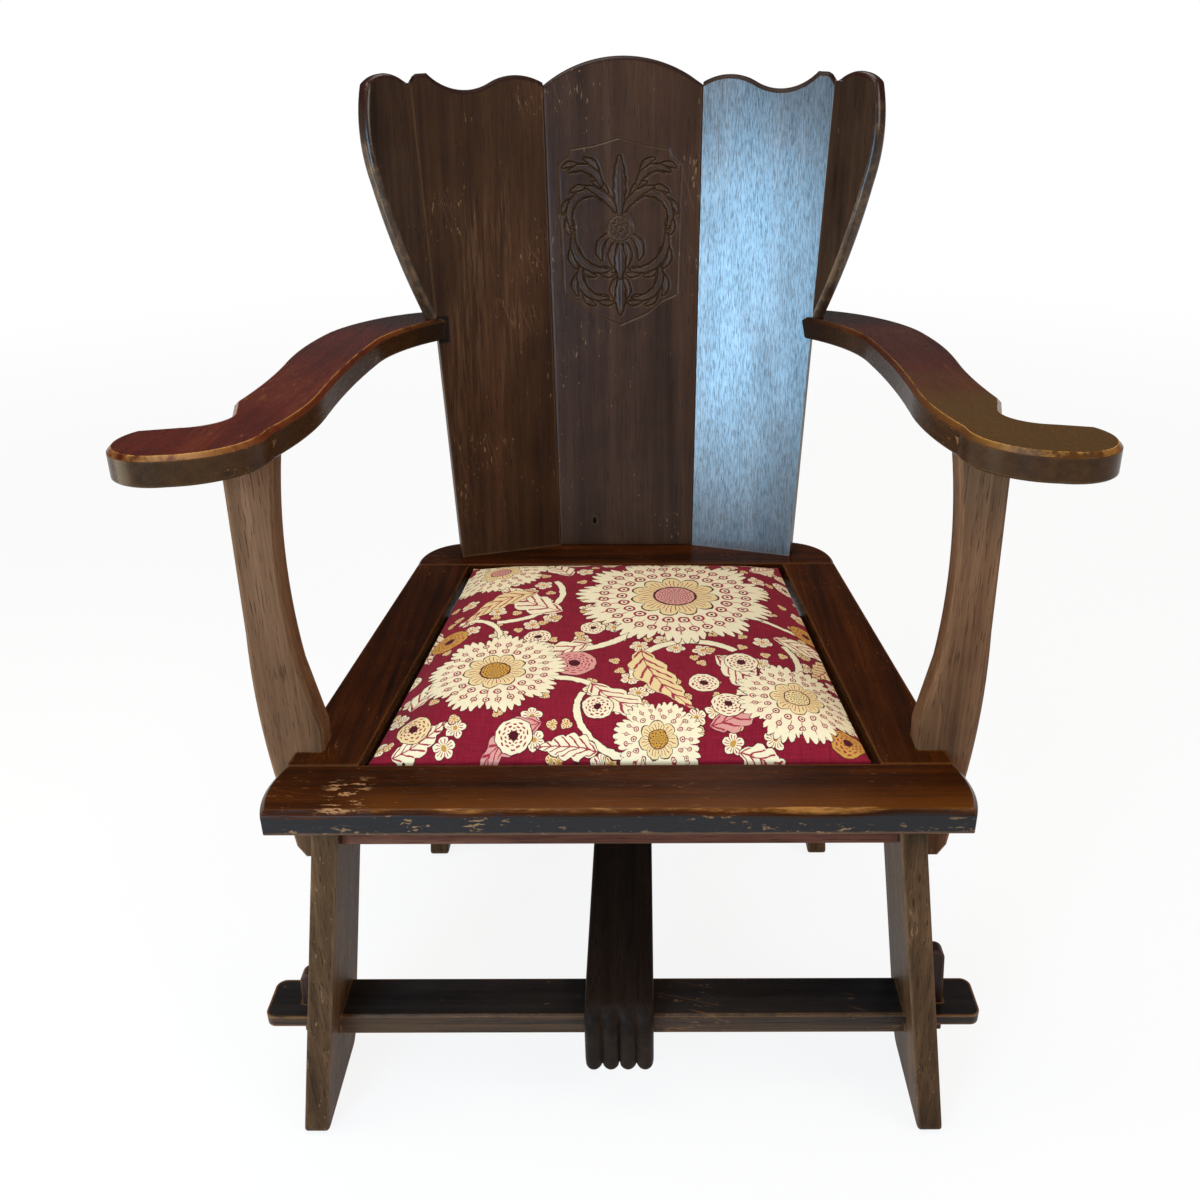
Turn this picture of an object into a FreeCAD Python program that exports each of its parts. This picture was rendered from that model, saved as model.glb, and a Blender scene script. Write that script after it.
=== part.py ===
import FreeCAD, Part

import math
import os
import re

import Sketcher
from FreeCAD import Placement, Rotation, Vector

# An oak armchair with a coopered wing back, tusk-tenoned plank legs and a drop-in seat.
# X runs to the sitter's left, Y to the back and Z up; the origin lies on the floor under
# the middle of the whole chair. Lengths are in millimetres and angles in degrees.
# Depths are measured from the front rail's face, which lies originSetback before the origin.
sizes = {
    "originSetback": 346.8,
    # the seat frame, four boards in one plane
    "seatHeight": 392,
    "railThick": 25,
    "railLength": 625,
    "railDepth": 70,
    "railBevel": 5,
    "sideFrontHalf": 306.5,
    "sideBackHalf": 264.5,
    "sideWidth": 66,
    "openingDepth": 438,
    "backRailDepth": 104,
    "edgeBevel": 3,
    # cleats under the frame that carry the drop-in seat, and the strip between the front legs
    "cleatThick": 18,
    "cleatLedge": 15,
    "cleatGrip": 26,
    "cleatLength": 290,
    "cleatInset": 52,
    "stripSetback": 22,
    "stripThick": 20,
    "stripDrop": 28,
    # plank legs, front and back
    "legThick": 24,
    "frontLegTop": 272,
    "frontLegFloor": 321,
    "frontLegTopFront": 12,
    "frontLegFloorFront": -14,
    "frontLegBack": 110,
    "backLegTop": 234,
    "backLegFloor": 267,
    "backLegFront": 432,
    "backLegFloorFront": 413,
    "backLegTopBack": 548,
    "backLegFloorBack": 576,
    "footRound": 14,
    # stretchers with through tenons, each locked by a key
    "stretcherTop": 118,
    "stretcherThick": 25,
    "stretcherWidth": 50,
    "stretcherSetback": 31.5,
    "backStretcherSetback": 478,
    "tenonThick": 12,
    "tenonRise": 4.5,
    "tenonProud": 51,
    "tenonRound": 10,
    "tenonFit": 0.2,
    "keyThick": 15,
    "keyFoot": 78,
    "keyTopRight": 184,
    "keyTopLeft": 155,
    "keyWide": 21,
    "keyNarrow": 15,
    "keyCrown": 9,
    # the middle rail, whose front end is a hand that grips the front stretcher
    "handWidth": 68,
    "handShift": -3,
    "handThick": 25,
    "handDrop": 75,
    "handTail": 22,
    "fingerTip": 8,
    "grooveRadius": 3.4,
    "grooveSink": 1.6,
    # back boards
    "boardSetback": 567,
    "boardThick": 22,
    "backLean": 11.5,
    "facetAngle": 16.4,
    "centreBottomHalf": 86.5,
    "centreTopHalf": 96.3,
    "junctionHeight": 551,
    "crestRise": 33,
    "sideBoardWidth": 129,
    "sideTopWidth": 156,
    "boardBevel": 2.5,
    # wings
    "wingAngle": 55,
    "wingThick": 18,
    "wingReach": 72,
    "wingTopShare": 1.044,
    "wingBevel": 4,
    # battens behind the boards
    "battenThick": 24,
    "battenWidth": 52,
    "battenLow": 120,
    "battenHigh": 408,
    "battenHalf": 208,
    "battenBevel": 3,
    # arms and the posts that carry them
    "armRise": 317,
    "armFront": 21,
    "armSlope": 2.3,
    "armReach": 395,
    "armLength": 616,
    "armThick": 25,
    "armBevel": 4,
    "postSetback": 92,
    "postThick": 28,
    "postReach": 335,
    "postDrop": 126,
    "postBevel": 3,
    "notchHalf": 279,
    # pegs and cut nails
    "pegRadius": 4,
    "pegDepth": 18,
    "nailRadius": 1.8,
    "nailLength": 34,
    # the drop-in seat
    "seatPlay": 4,
    "seatLift": 0.3,
    "baseThick": 9,
    "padCrown": 26,
    "padTuck": 3,
}

# Outlines are lists of points, each a share of the piece's own sizes. "to" is a corner and
# "via" is a point that an arc passes through on its way to the next corner.
frontRailShares = [
    ("to", -0.99, 1.0), ("via", -1.014, 0.45), ("to", -0.994, 0.0),
    ("to", 0.994, 0.0), ("via", 1.014, 0.45), ("to", 0.99, 1.0),
]
backRailShares = [
    ("to", -1.0, 0.0), ("to", 1.0, 0.0), ("via", 0.972, 0.4), ("to", 0.86, 0.64),
    ("via", 0.0, 1.0), ("to", -0.86, 0.64), ("via", -0.972, 0.4),
]
armShares = [
    ("to", 0.549, 0.924), ("via", 0.643, 0.824), ("to", 0.690, 0.682), ("via", 0.697, 0.502),
    ("to", 0.688, 0.336), ("via", 0.690, 0.209), ("to", 0.713, 0.120), ("via", 0.759, 0.034),
    ("to", 0.866, 0.000), ("via", 0.948, 0.004), ("to", 0.992, 0.028), ("via", 1.014, 0.071),
    ("to", 0.992, 0.122), ("to", 0.911, 0.137), ("via", 0.855, 0.158), ("to", 0.842, 0.211),
    ("to", 0.868, 0.270), ("via", 0.864, 0.372), ("to", 0.879, 0.545), ("via", 0.884, 0.650),
    ("to", 0.874, 0.748), ("via", 0.834, 0.855), ("to", 0.765, 0.934), ("via", 0.703, 0.976),
    ("to", 0.635, 1.005), ("to", 0.603, 0.959),
]
postShares = [
    ("to", 0.836, 1.000), ("via", 0.876, 0.720), ("to", 0.864, 0.500), ("to", 0.825, 0.346),
    ("to", 0.836, 0.140), ("to", 0.856, 0.022), ("to", 0.880, 0.000), ("to", 0.930, 0.000),
    ("to", 0.953, 0.030), ("to", 0.972, 0.160), ("via", 0.995, 0.360), ("to", 0.992, 0.580),
    ("to", 0.978, 1.000),
]
wingShares = [
    ("to", 0.000, 0.000), ("via", 0.490, 0.260), ("to", 0.900, 0.575), ("via", 1.000, 0.820),
    ("to", 0.880, 0.955), ("via", 0.450, 1.000), ("to", 0.000, 0.968),
]
sideTopShares = [
    ("to", 1.000, 1.015), ("to", 0.967, 1.027), ("to", 0.871, 1.028), ("via", 0.660, 0.996),
    ("to", 0.420, 1.006), ("via", 0.204, 1.022), ("to", 0.000, 1.000),
]
fingerShares = [
    ("to", 1.08, 0.00), ("via", 0.38, 0.09), ("to", 0.16, 0.41), ("via", 0.13, 0.66),
    ("to", 0.30, 0.90), ("via", 0.57, 1.00), ("to", 0.87, 0.89), ("to", 0.98, 0.78),
]
# each section of the seat's pad: its place from front to back, its edge and its crown
padSections = [
    ("0.0", "seatHeight - 0.30 * padCrown", "0.14 * padCrown"),
    ("0.07", "seatHeight - 0.04 * padCrown", "0.50 * padCrown"),
    ("0.30", "seatHeight + 0.08 * padCrown", "0.86 * padCrown"),
    ("0.62", "seatHeight + 0.08 * padCrown", "0.88 * padCrown"),
    ("0.93", "seatHeight - 0.04 * padCrown", "0.52 * padCrown"),
    ("1.0", "seatHeight - 0.30 * padCrown", "0.14 * padCrown"),
]

doc = FreeCAD.newDocument("Armchair")
sheet = doc.addObject("Spreadsheet::Sheet", "Sizes")
for row, (name, size) in enumerate(sizes.items(), 1):
    sheet.set(f"A{row}", name)
    sheet.set(f"B{row}", str(size))
    sheet.setAlias(f"B{row}", name)
doc.recompute()

sizeNames = re.compile(r"\b(" + "|".join(sizes) + r")\b")
nodes = {}


def bound(text):
    return sizeNames.sub(r"Sizes.\1", text)


def number(text):
    return float(sheet.evalExpression(bound(text)))


def scaled(shares, width, height, left="0", low="0"):
    return [(kind, f"{left} + {x} * ({width})", f"{low} + {y} * ({height})") for kind, x, y in shares]


def keep(label, piece):
    piece.Label = label
    nodes[label] = piece
    return piece


def newBody(name, placement=None):
    body = doc.addObject("PartDesign::Body", name)
    if placement:
        body.Placement = placement
    else:
        body.setExpression("Placement.Base.y", bound("-originSetback"))
    return body


def arcThrough(start, middle, end):
    circle = Part.Arc(start, middle, end).toShape().Curve
    centre = circle.Center
    angles = [math.atan2(spot.y - centre.y, spot.x - centre.x) for spot in (start, end)]
    turnsLeft = (middle - start).cross(end - middle).z > 0
    if not turnsLeft:
        angles.reverse()
    flat = Part.Circle(centre, Vector(0, 0, 1), circle.Radius)
    ends = (1, 2) if turnsLeft else (2, 1)
    return Part.ArcOfCircle(flat, angles[0], angles[1]), ends


def pin(sketch, geometry, position, x, y):
    for direction, expression in (("DistanceX", x), ("DistanceY", y)):
        rule = Sketcher.Constraint(direction, -1, 1, geometry, position, number(expression))
        index = sketch.addConstraint(rule)
        sketch.setExpression(f"Constraints[{index}]", bound(expression))


def draw(body, role, path, lift=None):
    # A closed sketch on one of the body's own planes, every point tied to the sheet
    sketch = body.newObject("Sketcher::SketchObject", "Outline")
    plane = [feature for feature in body.Origin.OriginFeatures if feature.Role == role][0]
    sketch.AttachmentSupport = (plane, [""])
    sketch.MapMode = "FlatFace"
    if lift:
        sketch.setExpression("AttachmentOffset.Base.z", bound(lift))
    spots = [Vector(number(x), number(y), 0) for kind, x, y in path]
    edges = []
    step = 0
    while step < len(path):
        following = (step + 1) % len(path)
        if path[following][0] == "via":
            end = (step + 2) % len(path)
            arc, ends = arcThrough(spots[step], spots[following], spots[end])
            edges.append((sketch.addGeometry(arc), ends, step))
            mark = sketch.addGeometry(Part.Point(spots[following]), True)
            sketch.addConstraint(Sketcher.Constraint("PointOnObject", mark, 1, edges[-1][0]))
            pin(sketch, mark, 1, path[following][1], path[following][2])
            step += 2
        else:
            line = Part.LineSegment(spots[step], spots[following])
            edges.append((sketch.addGeometry(line), (1, 2), step))
            step += 1
    for index, (geometry, ends, step) in enumerate(edges):
        nextGeometry, nextEnds, nextStep = edges[(index + 1) % len(edges)]
        sketch.addConstraint(Sketcher.Constraint("Coincident", geometry, ends[1], nextGeometry, nextEnds[0]))
        pin(sketch, geometry, ends[0], path[step][1], path[step][2])
    return sketch


def pad(body, sketch, length, backwards=False, bothWays=False):
    feature = body.newObject("PartDesign::Pad", "Pad")
    feature.Profile = sketch
    feature.setExpression("Length", bound(length))
    feature.Reversed = backwards
    if bothWays:
        feature.SideType = "Symmetric"
    return feature


def loft(body, sketches, ruled=True):
    feature = body.newObject("PartDesign::AdditiveLoft", "Loft")
    feature.Profile = sketches[0]
    feature.Sections = sketches[1:]
    feature.Ruled = ruled
    return feature


def bevelEdges(body, feature, width, pick):
    doc.recompute()
    names = [f"Edge{index}" for index, edge in enumerate(feature.Shape.Edges, 1) if pick(edge)]
    bevel = body.newObject("PartDesign::Chamfer", "Bevel")
    bevel.Base = (feature, names)
    bevel.setExpression("Size", bound(width))
    return bevel


def lies(edge, axis, place):
    # Whether an edge stays at one place along an axis
    low = getattr(edge.BoundBox, axis + "Min")
    high = getattr(edge.BoundBox, axis + "Max")
    return abs(low - place) < near and abs(high - place) < near


def runs(edge, axis):
    # Whether an edge runs mostly along an axis
    box = edge.BoundBox
    spans = {"X": box.XLength, "Y": box.YLength, "Z": box.ZLength}
    return spans[axis] > sum(spans.values()) / 2


near = 0.01 * sizes["railThick"]


def mirrored(label, source):
    copy = doc.addObject("Part::Mirroring", label)
    copy.Source = source
    copy.Normal = Vector(1, 0, 0)
    return copy


def cut(label, base, *tools):
    for tool in tools:
        result = doc.addObject("Part::Cut", label)
        result.Base = base
        result.Tool = tool
        base = result
    return base


def block(name, corner, size):
    box = doc.addObject("Part::Box", name)
    for part, expression in zip(("Length", "Width", "Height"), size):
        box.setExpression(part, bound(expression))
    for axis, expression in zip("xyz", corner):
        box.setExpression(f"Placement.Base.{axis}", bound(expression))
    return box


def peg(foot, direction, length):
    # An eight-sided peg, riven as old oak pegs are, from one point along a direction
    prism = doc.addObject("Part::Prism", "Peg")
    prism.Polygon = 8
    prism.setExpression("Circumradius", bound("pegRadius"))
    prism.setExpression("Height", bound(length))
    prism.Placement = Placement(foot, Rotation(Vector(0, 0, 1), direction))
    return prism


def group(label, members):
    bundle = doc.addObject("Part::Compound", label)
    bundle.Links = members
    return keep(label, bundle)


def spot(x, depth, z):
    return Vector(x, depth - sizes["originSetback"], z)


def size(text):
    return number(text)


# Derived places that several pieces share, written once
railUnder = "(seatHeight - railThick)"
openingBack = "(railDepth + openingDepth)"
sideTaper = "((sideFrontHalf - sideBackHalf) / openingDepth)"
handTop = "(stretcherTop + handThick)"
flare = "((centreTopHalf - centreBottomHalf) / junctionHeight)"
armTop = "(seatHeight + armRise)"
postTop = f"({armTop} - armThick / 2)"
postFoot = "(seatHeight - postDrop)"
wingFoot = "(armRise - armLength * tan(armSlope))"
wingRise = f"(wingTopShare * junctionHeight - {wingFoot})"
junctionAcross = f"(junctionHeight * ({flare} * cos(facetAngle) - tan(backLean) * sin(facetAngle)))"
junctionUp = f"sqrt(junctionHeight ^ 2 * (1 + {flare} ^ 2 + tan(backLean) ^ 2) - {junctionAcross} ^ 2)"
sideTilt = f"(tan(backLean) * cos(facetAngle) + {flare} * sin(facetAngle))"
boardMitre = "(boardThick * tan(facetAngle))"
centreRise = "(junctionHeight / cos(backLean))"


def sideAt(depth):
    # The side rail's outer edge at a depth
    return f"(sideFrontHalf - {sideTaper} * ({depth} - railDepth))"


def legAt(where, height, inner=False):
    # A leg's outer or inner face at a height
    face = f"({where}LegFloor - ({where}LegFloor - {where}LegTop) * ({height}) / {railUnder})"
    return f"({face} - legThick)" if inner else face


def frontRail():
    body = newBody("front_rail_blank")
    path = scaled(frontRailShares, "railLength / 2", "railDepth")
    whole = pad(body, draw(body, "XY_Plane", path, railUnder), "railThick")
    top = size("seatHeight")
    rear = size("railDepth") - near
    bevelEdges(body, whole, "railBevel", lambda edge: lies(edge, "Z", top) and edge.BoundBox.YMin < rear)
    return body


def sideRail():
    body = newBody("side_rail_blank")
    inner = "- sideWidth"
    notchFront = "postSetback"
    notchBack = "(postSetback + postThick)"
    path = [
        ("to", "sideFrontHalf" + inner, "railDepth"),
        ("to", "sideFrontHalf", "railDepth"),
        ("to", sideAt(notchFront), notchFront),
        ("to", "notchHalf", notchFront),
        ("to", "notchHalf", notchBack),
        ("to", sideAt(notchBack), notchBack),
        ("to", "sideBackHalf", openingBack),
        ("to", "sideBackHalf" + inner, openingBack),
    ]
    pad(body, draw(body, "XY_Plane", path, railUnder), "railThick")
    return body


def backRail():
    body = newBody("back_rail_blank")
    path = scaled(backRailShares, "sideBackHalf", "backRailDepth", low=openingBack)
    whole = pad(body, draw(body, "XY_Plane", path, railUnder), "railThick")
    top = size("seatHeight")
    front = size(openingBack)
    bevelEdges(body, whole, "edgeBevel",
               lambda edge: lies(edge, "Z", top) and edge.BoundBox.YMax > front + near)
    return body


def sideCleat():
    # Follows the side rail's inner edge between the legs, half under the rail
    body = newBody("side_cleat_blank")
    start = "(railDepth + cleatInset)"
    stop = "(railDepth + cleatInset + cleatLength)"
    path = [
        ("to", f"{sideAt(start)} - sideWidth - cleatLedge", start),
        ("to", f"{sideAt(start)} - sideWidth + cleatGrip", start),
        ("to", f"{sideAt(stop)} - sideWidth + cleatGrip", stop),
        ("to", f"{sideAt(stop)} - sideWidth - cleatLedge", stop),
    ]
    pad(body, draw(body, "XY_Plane", path, f"{railUnder} - cleatThick"), "cleatThick")
    return body


def crossCleat(label, halfLength, edge, towardsFront):
    # Runs along the front or back edge of the seat opening
    body = newBody(label)
    sign = "-" if towardsFront else "+"
    ledge = "+" if towardsFront else "-"
    path = [
        ("to", f"-({halfLength})", f"{edge} {ledge} cleatLedge"),
        ("to", halfLength, f"{edge} {ledge} cleatLedge"),
        ("to", halfLength, f"{edge} {sign} cleatGrip"),
        ("to", f"-({halfLength})", f"{edge} {sign} cleatGrip"),
    ]
    pad(body, draw(body, "XY_Plane", path, f"{railUnder} - cleatThick"), "cleatThick")
    return body


def frontStrip():
    # A strip under the front rail, fitted between the splayed legs
    body = newBody("front_strip")
    low = f"({railUnder} - stripDrop)"
    path = [
        ("to", f"-({legAt('front', low, True)})", low),
        ("to", legAt("front", low, True), low),
        ("to", legAt("front", railUnder, True), railUnder),
        ("to", f"-({legAt('front', railUnder, True)})", railUnder),
    ]
    pad(body, draw(body, "XZ_Plane", path, "-stripSetback"), "stripThick", backwards=True)
    return body


def leg(where, topFront, topBack, floorFront, floorBack):
    # A splayed plank, level at its top and foot, with rounded toes
    front = newBody(f"{where}_leg_front")
    face = [
        ("to", legAt(where, "0", True), "0"),
        ("to", legAt(where, "0"), "0"),
        ("to", legAt(where, railUnder), railUnder),
        ("to", legAt(where, railUnder, True), railUnder),
    ]
    reach = f"({floorBack} - {floorFront} + 2 * footRound)"
    pad(front, draw(front, "XZ_Plane", face, f"-({floorFront} - footRound)"), reach, backwards=True)
    side = newBody(f"{where}_leg_side")
    curve = "(footRound * (1 - cos(45)))"
    path = [
        ("to", f"{floorFront} + footRound", "0"),
        ("to", f"{floorBack} - footRound", "0"),
        ("via", f"{floorBack} - {curve}", curve),
        ("to", f"{floorBack} + ({topBack} - {floorBack}) * footRound / {railUnder}", "footRound"),
        ("to", topBack, railUnder),
        ("to", topFront, railUnder),
        ("to", f"{floorFront} + ({topFront} - {floorFront}) * footRound / {railUnder}", "footRound"),
        ("via", f"{floorFront} + {curve}", curve),
    ]
    pad(side, draw(side, "YZ_Plane", path), f"{where}LegFloor + footRound")
    both = doc.addObject("Part::Common", f"{where}_leg_form")
    both.Base = front
    both.Tool = side
    return both


def stretcher(label, where, setback):
    # A rail with sloping shoulders and a thin tenon through each leg
    body = newBody(f"{label}_blank")
    under = "(stretcherTop - stretcherThick)"
    path = [
        ("to", f"-({legAt(where, under, True)})", under),
        ("to", legAt(where, under, True), under),
        ("to", legAt(where, "stretcherTop", True), "stretcherTop"),
        ("to", f"-({legAt(where, 'stretcherTop', True)})", "stretcherTop"),
    ]
    pad(body, draw(body, "XZ_Plane", path, f"-{setback}"), "stretcherWidth", backwards=True)
    middle = "(stretcherTop - stretcherThick / 2 + tenonRise)"
    end = f"({legAt(where, middle)} + tenonProud)"
    far = f"({setback} + stretcherWidth)"
    curve = "(tenonRound * (1 - cos(45)))"
    path = []
    for sign in ("-", ""):
        corners = [
            ("to", f"{sign}({end} - tenonRound)", far),
            ("via", f"{sign}({end} - {curve})", f"{far} - {curve}"),
            ("to", f"{sign}({end})", f"{far} - tenonRound"),
            ("to", f"{sign}({end})", f"{setback} + tenonRound"),
            ("via", f"{sign}({end} - {curve})", f"{setback} + {curve}"),
            ("to", f"{sign}({end} - tenonRound)", setback),
        ]
        path += corners if sign else corners[::-1]
    tenon = pad(body, draw(body, "XY_Plane", path, f"{middle} - tenonThick / 2"), "tenonThick")
    top = size("stretcherTop")
    low = size(under)
    bevelEdges(body, tenon, "edgeBevel / 2",
               lambda edge: runs(edge, "X") and (lies(edge, "Z", top) or lies(edge, "Z", low)))
    return body


def tenonHole(where, setback):
    middle = "(stretcherTop - stretcherThick / 2 + tenonRise)"
    return block("tenon_hole",
                 (f"{where}LegTop / 2", f"{setback} - tenonFit - originSetback",
                  f"{middle} - tenonThick / 2 - tenonFit"),
                 (f"{where}LegFloor", "stretcherWidth + 2 * tenonFit", "tenonThick + 2 * tenonFit"))


def key(label, where, setback, top):
    # A wedge that stands in the tenon against the leg's outer face
    body = newBody(f"{label}_blank")
    shoulder = f"({top} - keyCrown)"
    path = [
        ("to", legAt(where, "keyFoot"), "keyFoot"),
        ("to", f"{legAt(where, 'keyFoot')} + keyNarrow", "keyFoot"),
        ("to", f"{legAt(where, shoulder)} + keyWide", shoulder),
        ("via", f"{legAt(where, top)} + keyWide / 2", top),
        ("to", legAt(where, shoulder), shoulder),
    ]
    depth = f"({setback} + (stretcherWidth - keyThick) / 2)"
    pad(body, draw(body, "XZ_Plane", path, f"-{depth}"), "keyThick", backwards=True)
    return body


def handRail():
    # The middle rail: its side view, cut to four fingertips in front view, then grooved
    side = newBody("hand_side")
    path = [(kind, f"{x} * stretcherSetback", f"{handTop} - {y} * handDrop") for kind, x, y in fingerShares]
    tail = "(backStretcherSetback + stretcherWidth + handTail)"
    path += [
        ("to", "stretcherSetback - tenonFit", "stretcherTop"),
        ("to", tail, "stretcherTop"),
        ("to", tail, handTop),
    ]
    pad(side, draw(side, "YZ_Plane", path), "handWidth", bothWays=True)
    front = newBody("hand_front")
    tip = f"({handTop} - handDrop)"
    outline = [("to", "handWidth / 2", f"{handTop} + fingerTip"), ("to", "-handWidth / 2", f"{handTop} + fingerTip")]
    for finger in range(4):
        start = f"(-handWidth / 2 + {finger} * handWidth / 4)"
        outline += [
            ("to", start, f"{tip} + fingerTip"),
            ("via", f"{start} + handWidth / 8", tip),
        ]
    outline += [("to", "handWidth / 2", f"{tip} + fingerTip")]
    pad(front, draw(front, "XZ_Plane", outline, f"-{tail}"), f"{tail} + stretcherSetback")
    for body in (side, front):
        body.setExpression("Placement.Base.x", bound("handShift"))
    both = doc.addObject("Part::Common", "hand_form")
    both.Base = side
    both.Tool = front
    grooves = []
    for place in (-1, 0, 1):
        groove = doc.addObject("Part::Cone", "groove")
        groove.setExpression("Radius1", bound("grooveRadius"))
        groove.setExpression("Radius2", bound("grooveRadius / 16"))
        groove.setExpression("Height", bound("handDrop"))
        groove.setExpression("Placement.Base.x", bound(f"handShift + {place} * handWidth / 4"))
        groove.setExpression("Placement.Base.y", bound("grooveSink + 0.08 * stretcherSetback - originSetback"))
        groove.setExpression("Placement.Base.z", bound(f"{tip} - fingerTip / 2"))
        grooves.append(groove)
    return cut("hand_rail", both, *grooves)


def centreBoard(frame):
    body = newBody("back_board_centre_blank", frame)
    path = [
        ("to", "-centreBottomHalf", "0"), ("to", "centreBottomHalf", "0"), ("to", "centreTopHalf", centreRise),
        ("via", "0", f"{centreRise} + crestRise"), ("to", "-centreTopHalf", centreRise),
    ]
    whole = pad(body, draw(body, "XZ_Plane", path), "boardThick", backwards=True)
    return bevelTops(body, whole, centreRise, "boardBevel")


def bevelTops(body, feature, above, width):
    # Bevels the arrises of a top edge, front and back
    limit = 0.9 * size(above)
    bevelEdges(body, feature, width,
               lambda edge: edge.BoundBox.ZMin > limit and not runs(edge, "Y"))
    return body


def sideBoard(frame):
    # Reaches into the centre board by its own bevel, for the joint block to cut
    body = newBody("back_board_side_blank", frame)
    path = [("to", f"-{boardMitre}", "0"), ("to", "sideBoardWidth", "0")]
    path += scaled(sideTopShares[:-1], "sideTopWidth", junctionUp, left=junctionAcross)
    path += [("to", f"{junctionAcross} - {boardMitre}", junctionUp)]
    whole = pad(body, draw(body, "XZ_Plane", path), "boardThick", backwards=True)
    return bevelTops(body, whole, junctionUp, "boardBevel")


def wing(frame):
    # Reaches into the side board by its own bevel, for the joint block to cut
    body = newBody("wing_blank", frame)
    bevel = "(wingThick * tan(wingAngle - facetAngle))"
    path = scaled(wingShares, "wingReach", wingRise, low=wingFoot)
    path += [("to", f"-{bevel}", path[-1][2]), ("to", f"-{bevel}", wingFoot)]
    whole = pad(body, draw(body, "XZ_Plane", path), "wingThick", backwards=True)
    doc.recompute()
    limit = size("wingReach") / 20
    bevelEdges(body, whole, "wingBevel",
               lambda edge: edge.BoundBox.XMax > limit and not runs(edge, "Y"))
    return body


def fanFrames():
    # Frames of the boards' front faces: across, towards the back, and up the board
    lean = math.radians(sizes["backLean"])
    facet = math.radians(sizes["facetAngle"])
    turn = math.radians(sizes["wingAngle"])
    foot = spot(sizes["centreBottomHalf"], sizes["boardSetback"], sizes["seatHeight"])
    height = sizes["junctionHeight"]
    outward = sizes["centreTopHalf"] - sizes["centreBottomHalf"]
    edge = Vector(outward, height * math.tan(lean), height)
    centre = Placement(foot - Vector(foot.x, 0, 0), Rotation(Vector(1, 0, 0), -sizes["backLean"]))
    across = Vector(math.cos(facet), -math.sin(facet), 0)
    side = faceFrame(foot, across, edge)
    outerFoot = foot + across * sizes["sideBoardWidth"]
    corner = sideTopShares[0]
    top = Vector(size(junctionAcross) + corner[1] * sizes["sideTopWidth"], 0, corner[2] * size(junctionUp))
    outerEdge = side.multVec(top) - outerFoot
    forward = Vector(math.cos(turn), -math.sin(turn), 0)
    backward = outerEdge.cross(forward).normalize()
    up = outerEdge.normalize()
    wingFrame = Placement(outerFoot, Rotation(backward.cross(up), backward, up, "ZXY"))
    centreEdge = jointBlock("centre_edge", foot, centre, edge)
    sideEdge = jointBlock("side_edge", outerFoot, side, outerEdge)
    return centre, side, wingFrame, centreEdge, sideEdge


def faceFrame(foot, across, edge):
    backward = edge.cross(across).normalize()
    up = across.cross(backward)
    return Placement(foot, Rotation(across, backward, up, "ZXY"))


def jointBlock(label, foot, frame, edge):
    # A block on the inner side of a joint plane, which holds an edge of a board square to its face
    up = Vector(edge).normalize()
    backward = frame.Rotation.multVec(Vector(0, 1, 0))
    inward = up.cross(backward)
    reach = 3 * sizes["boardThick"]
    box = doc.addObject("Part::Box", label)
    box.setExpression("Length", bound("centreBottomHalf"))
    box.setExpression("Width", bound("6 * boardThick"))
    box.setExpression("Height", bound("1.5 * junctionHeight"))
    corner = foot + backward * reach - up * reach
    box.Placement = Placement(corner, Rotation(inward, backward * -1, up, "ZXY"))
    return box


def batten(label, low, frame, tools):
    # A cross batten behind the fan, cut to the boards' back faces
    body = newBody(f"{label}_blank", frame)
    middle = f"({low} + battenWidth / 2)"
    joint = f"(centreBottomHalf + (centreTopHalf - centreBottomHalf) * {middle} / {centreRise})"
    end = "battenHalf"
    fall = f"(({end} - {joint}) * tan(facetAngle))"
    inside = "(boardThick / 2)"
    outside = "(boardThick + battenThick)"
    path = [
        ("to", f"-{end}", f"{inside} - {fall}"), ("to", f"-{joint}", inside), ("to", joint, inside),
        ("to", end, f"{inside} - {fall}"), ("to", end, f"{outside} - {fall}"),
        ("via", "0", outside), ("to", f"-{end}", f"{outside} - {fall}"),
    ]
    whole = pad(body, draw(body, "XY_Plane", path, low), "battenWidth")
    rear = size(outside) - size(fall)
    bevelEdges(body, whole, "battenBevel",
               lambda edge: edge.BoundBox.YMax > rear + near and edge.BoundBox.ZLength < near)
    return cut(f"{label}_shape", body, *tools)


def armBoard():
    slope = Rotation(Vector(1, 0, 0), -sizes["armSlope"])
    body = newBody("arm_blank", Placement(spot(0, sizes["armFront"], size(armTop)), slope))
    path = scaled(armShares, "armReach", "armLength")
    whole = pad(body, draw(body, "XY_Plane", path), "armThick", backwards=True)
    upper = bevelEdges(body, whole, "armBevel", lambda edge: lies(edge, "Z", 0))
    low = -size("armThick")
    bevelEdges(body, upper, "armBevel / 3", lambda edge: lies(edge, "Z", low))
    return body


def armPost():
    body = newBody("post_blank")
    path = scaled(postShares, "postReach", f"{postTop} - {postFoot}", low=postFoot)
    whole = pad(body, draw(body, "XZ_Plane", path, "-postSetback"), "postThick", backwards=True)
    limit = size(postTop) - near
    bevelEdges(body, whole, "postBevel", lambda edge: not runs(edge, "Y") and edge.BoundBox.ZMin < limit)
    return body


def seatOutline(inset):
    play = f"(seatPlay + {inset})"
    front = f"(railDepth + {play})"
    back = f"({openingBack} - {play})"
    return front, back, lambda depth: f"({sideAt(depth)} - sideWidth - {play})"


def seatBase():
    body = newBody("seat_base")
    front, back, half = seatOutline("0")
    path = [
        ("to", f"-{half(front)}", front), ("to", half(front), front),
        ("to", half(back), back), ("to", f"-{half(back)}", back),
    ]
    pad(body, draw(body, "XY_Plane", path, f"{railUnder} + seatLift"), "baseThick")
    return body


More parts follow.
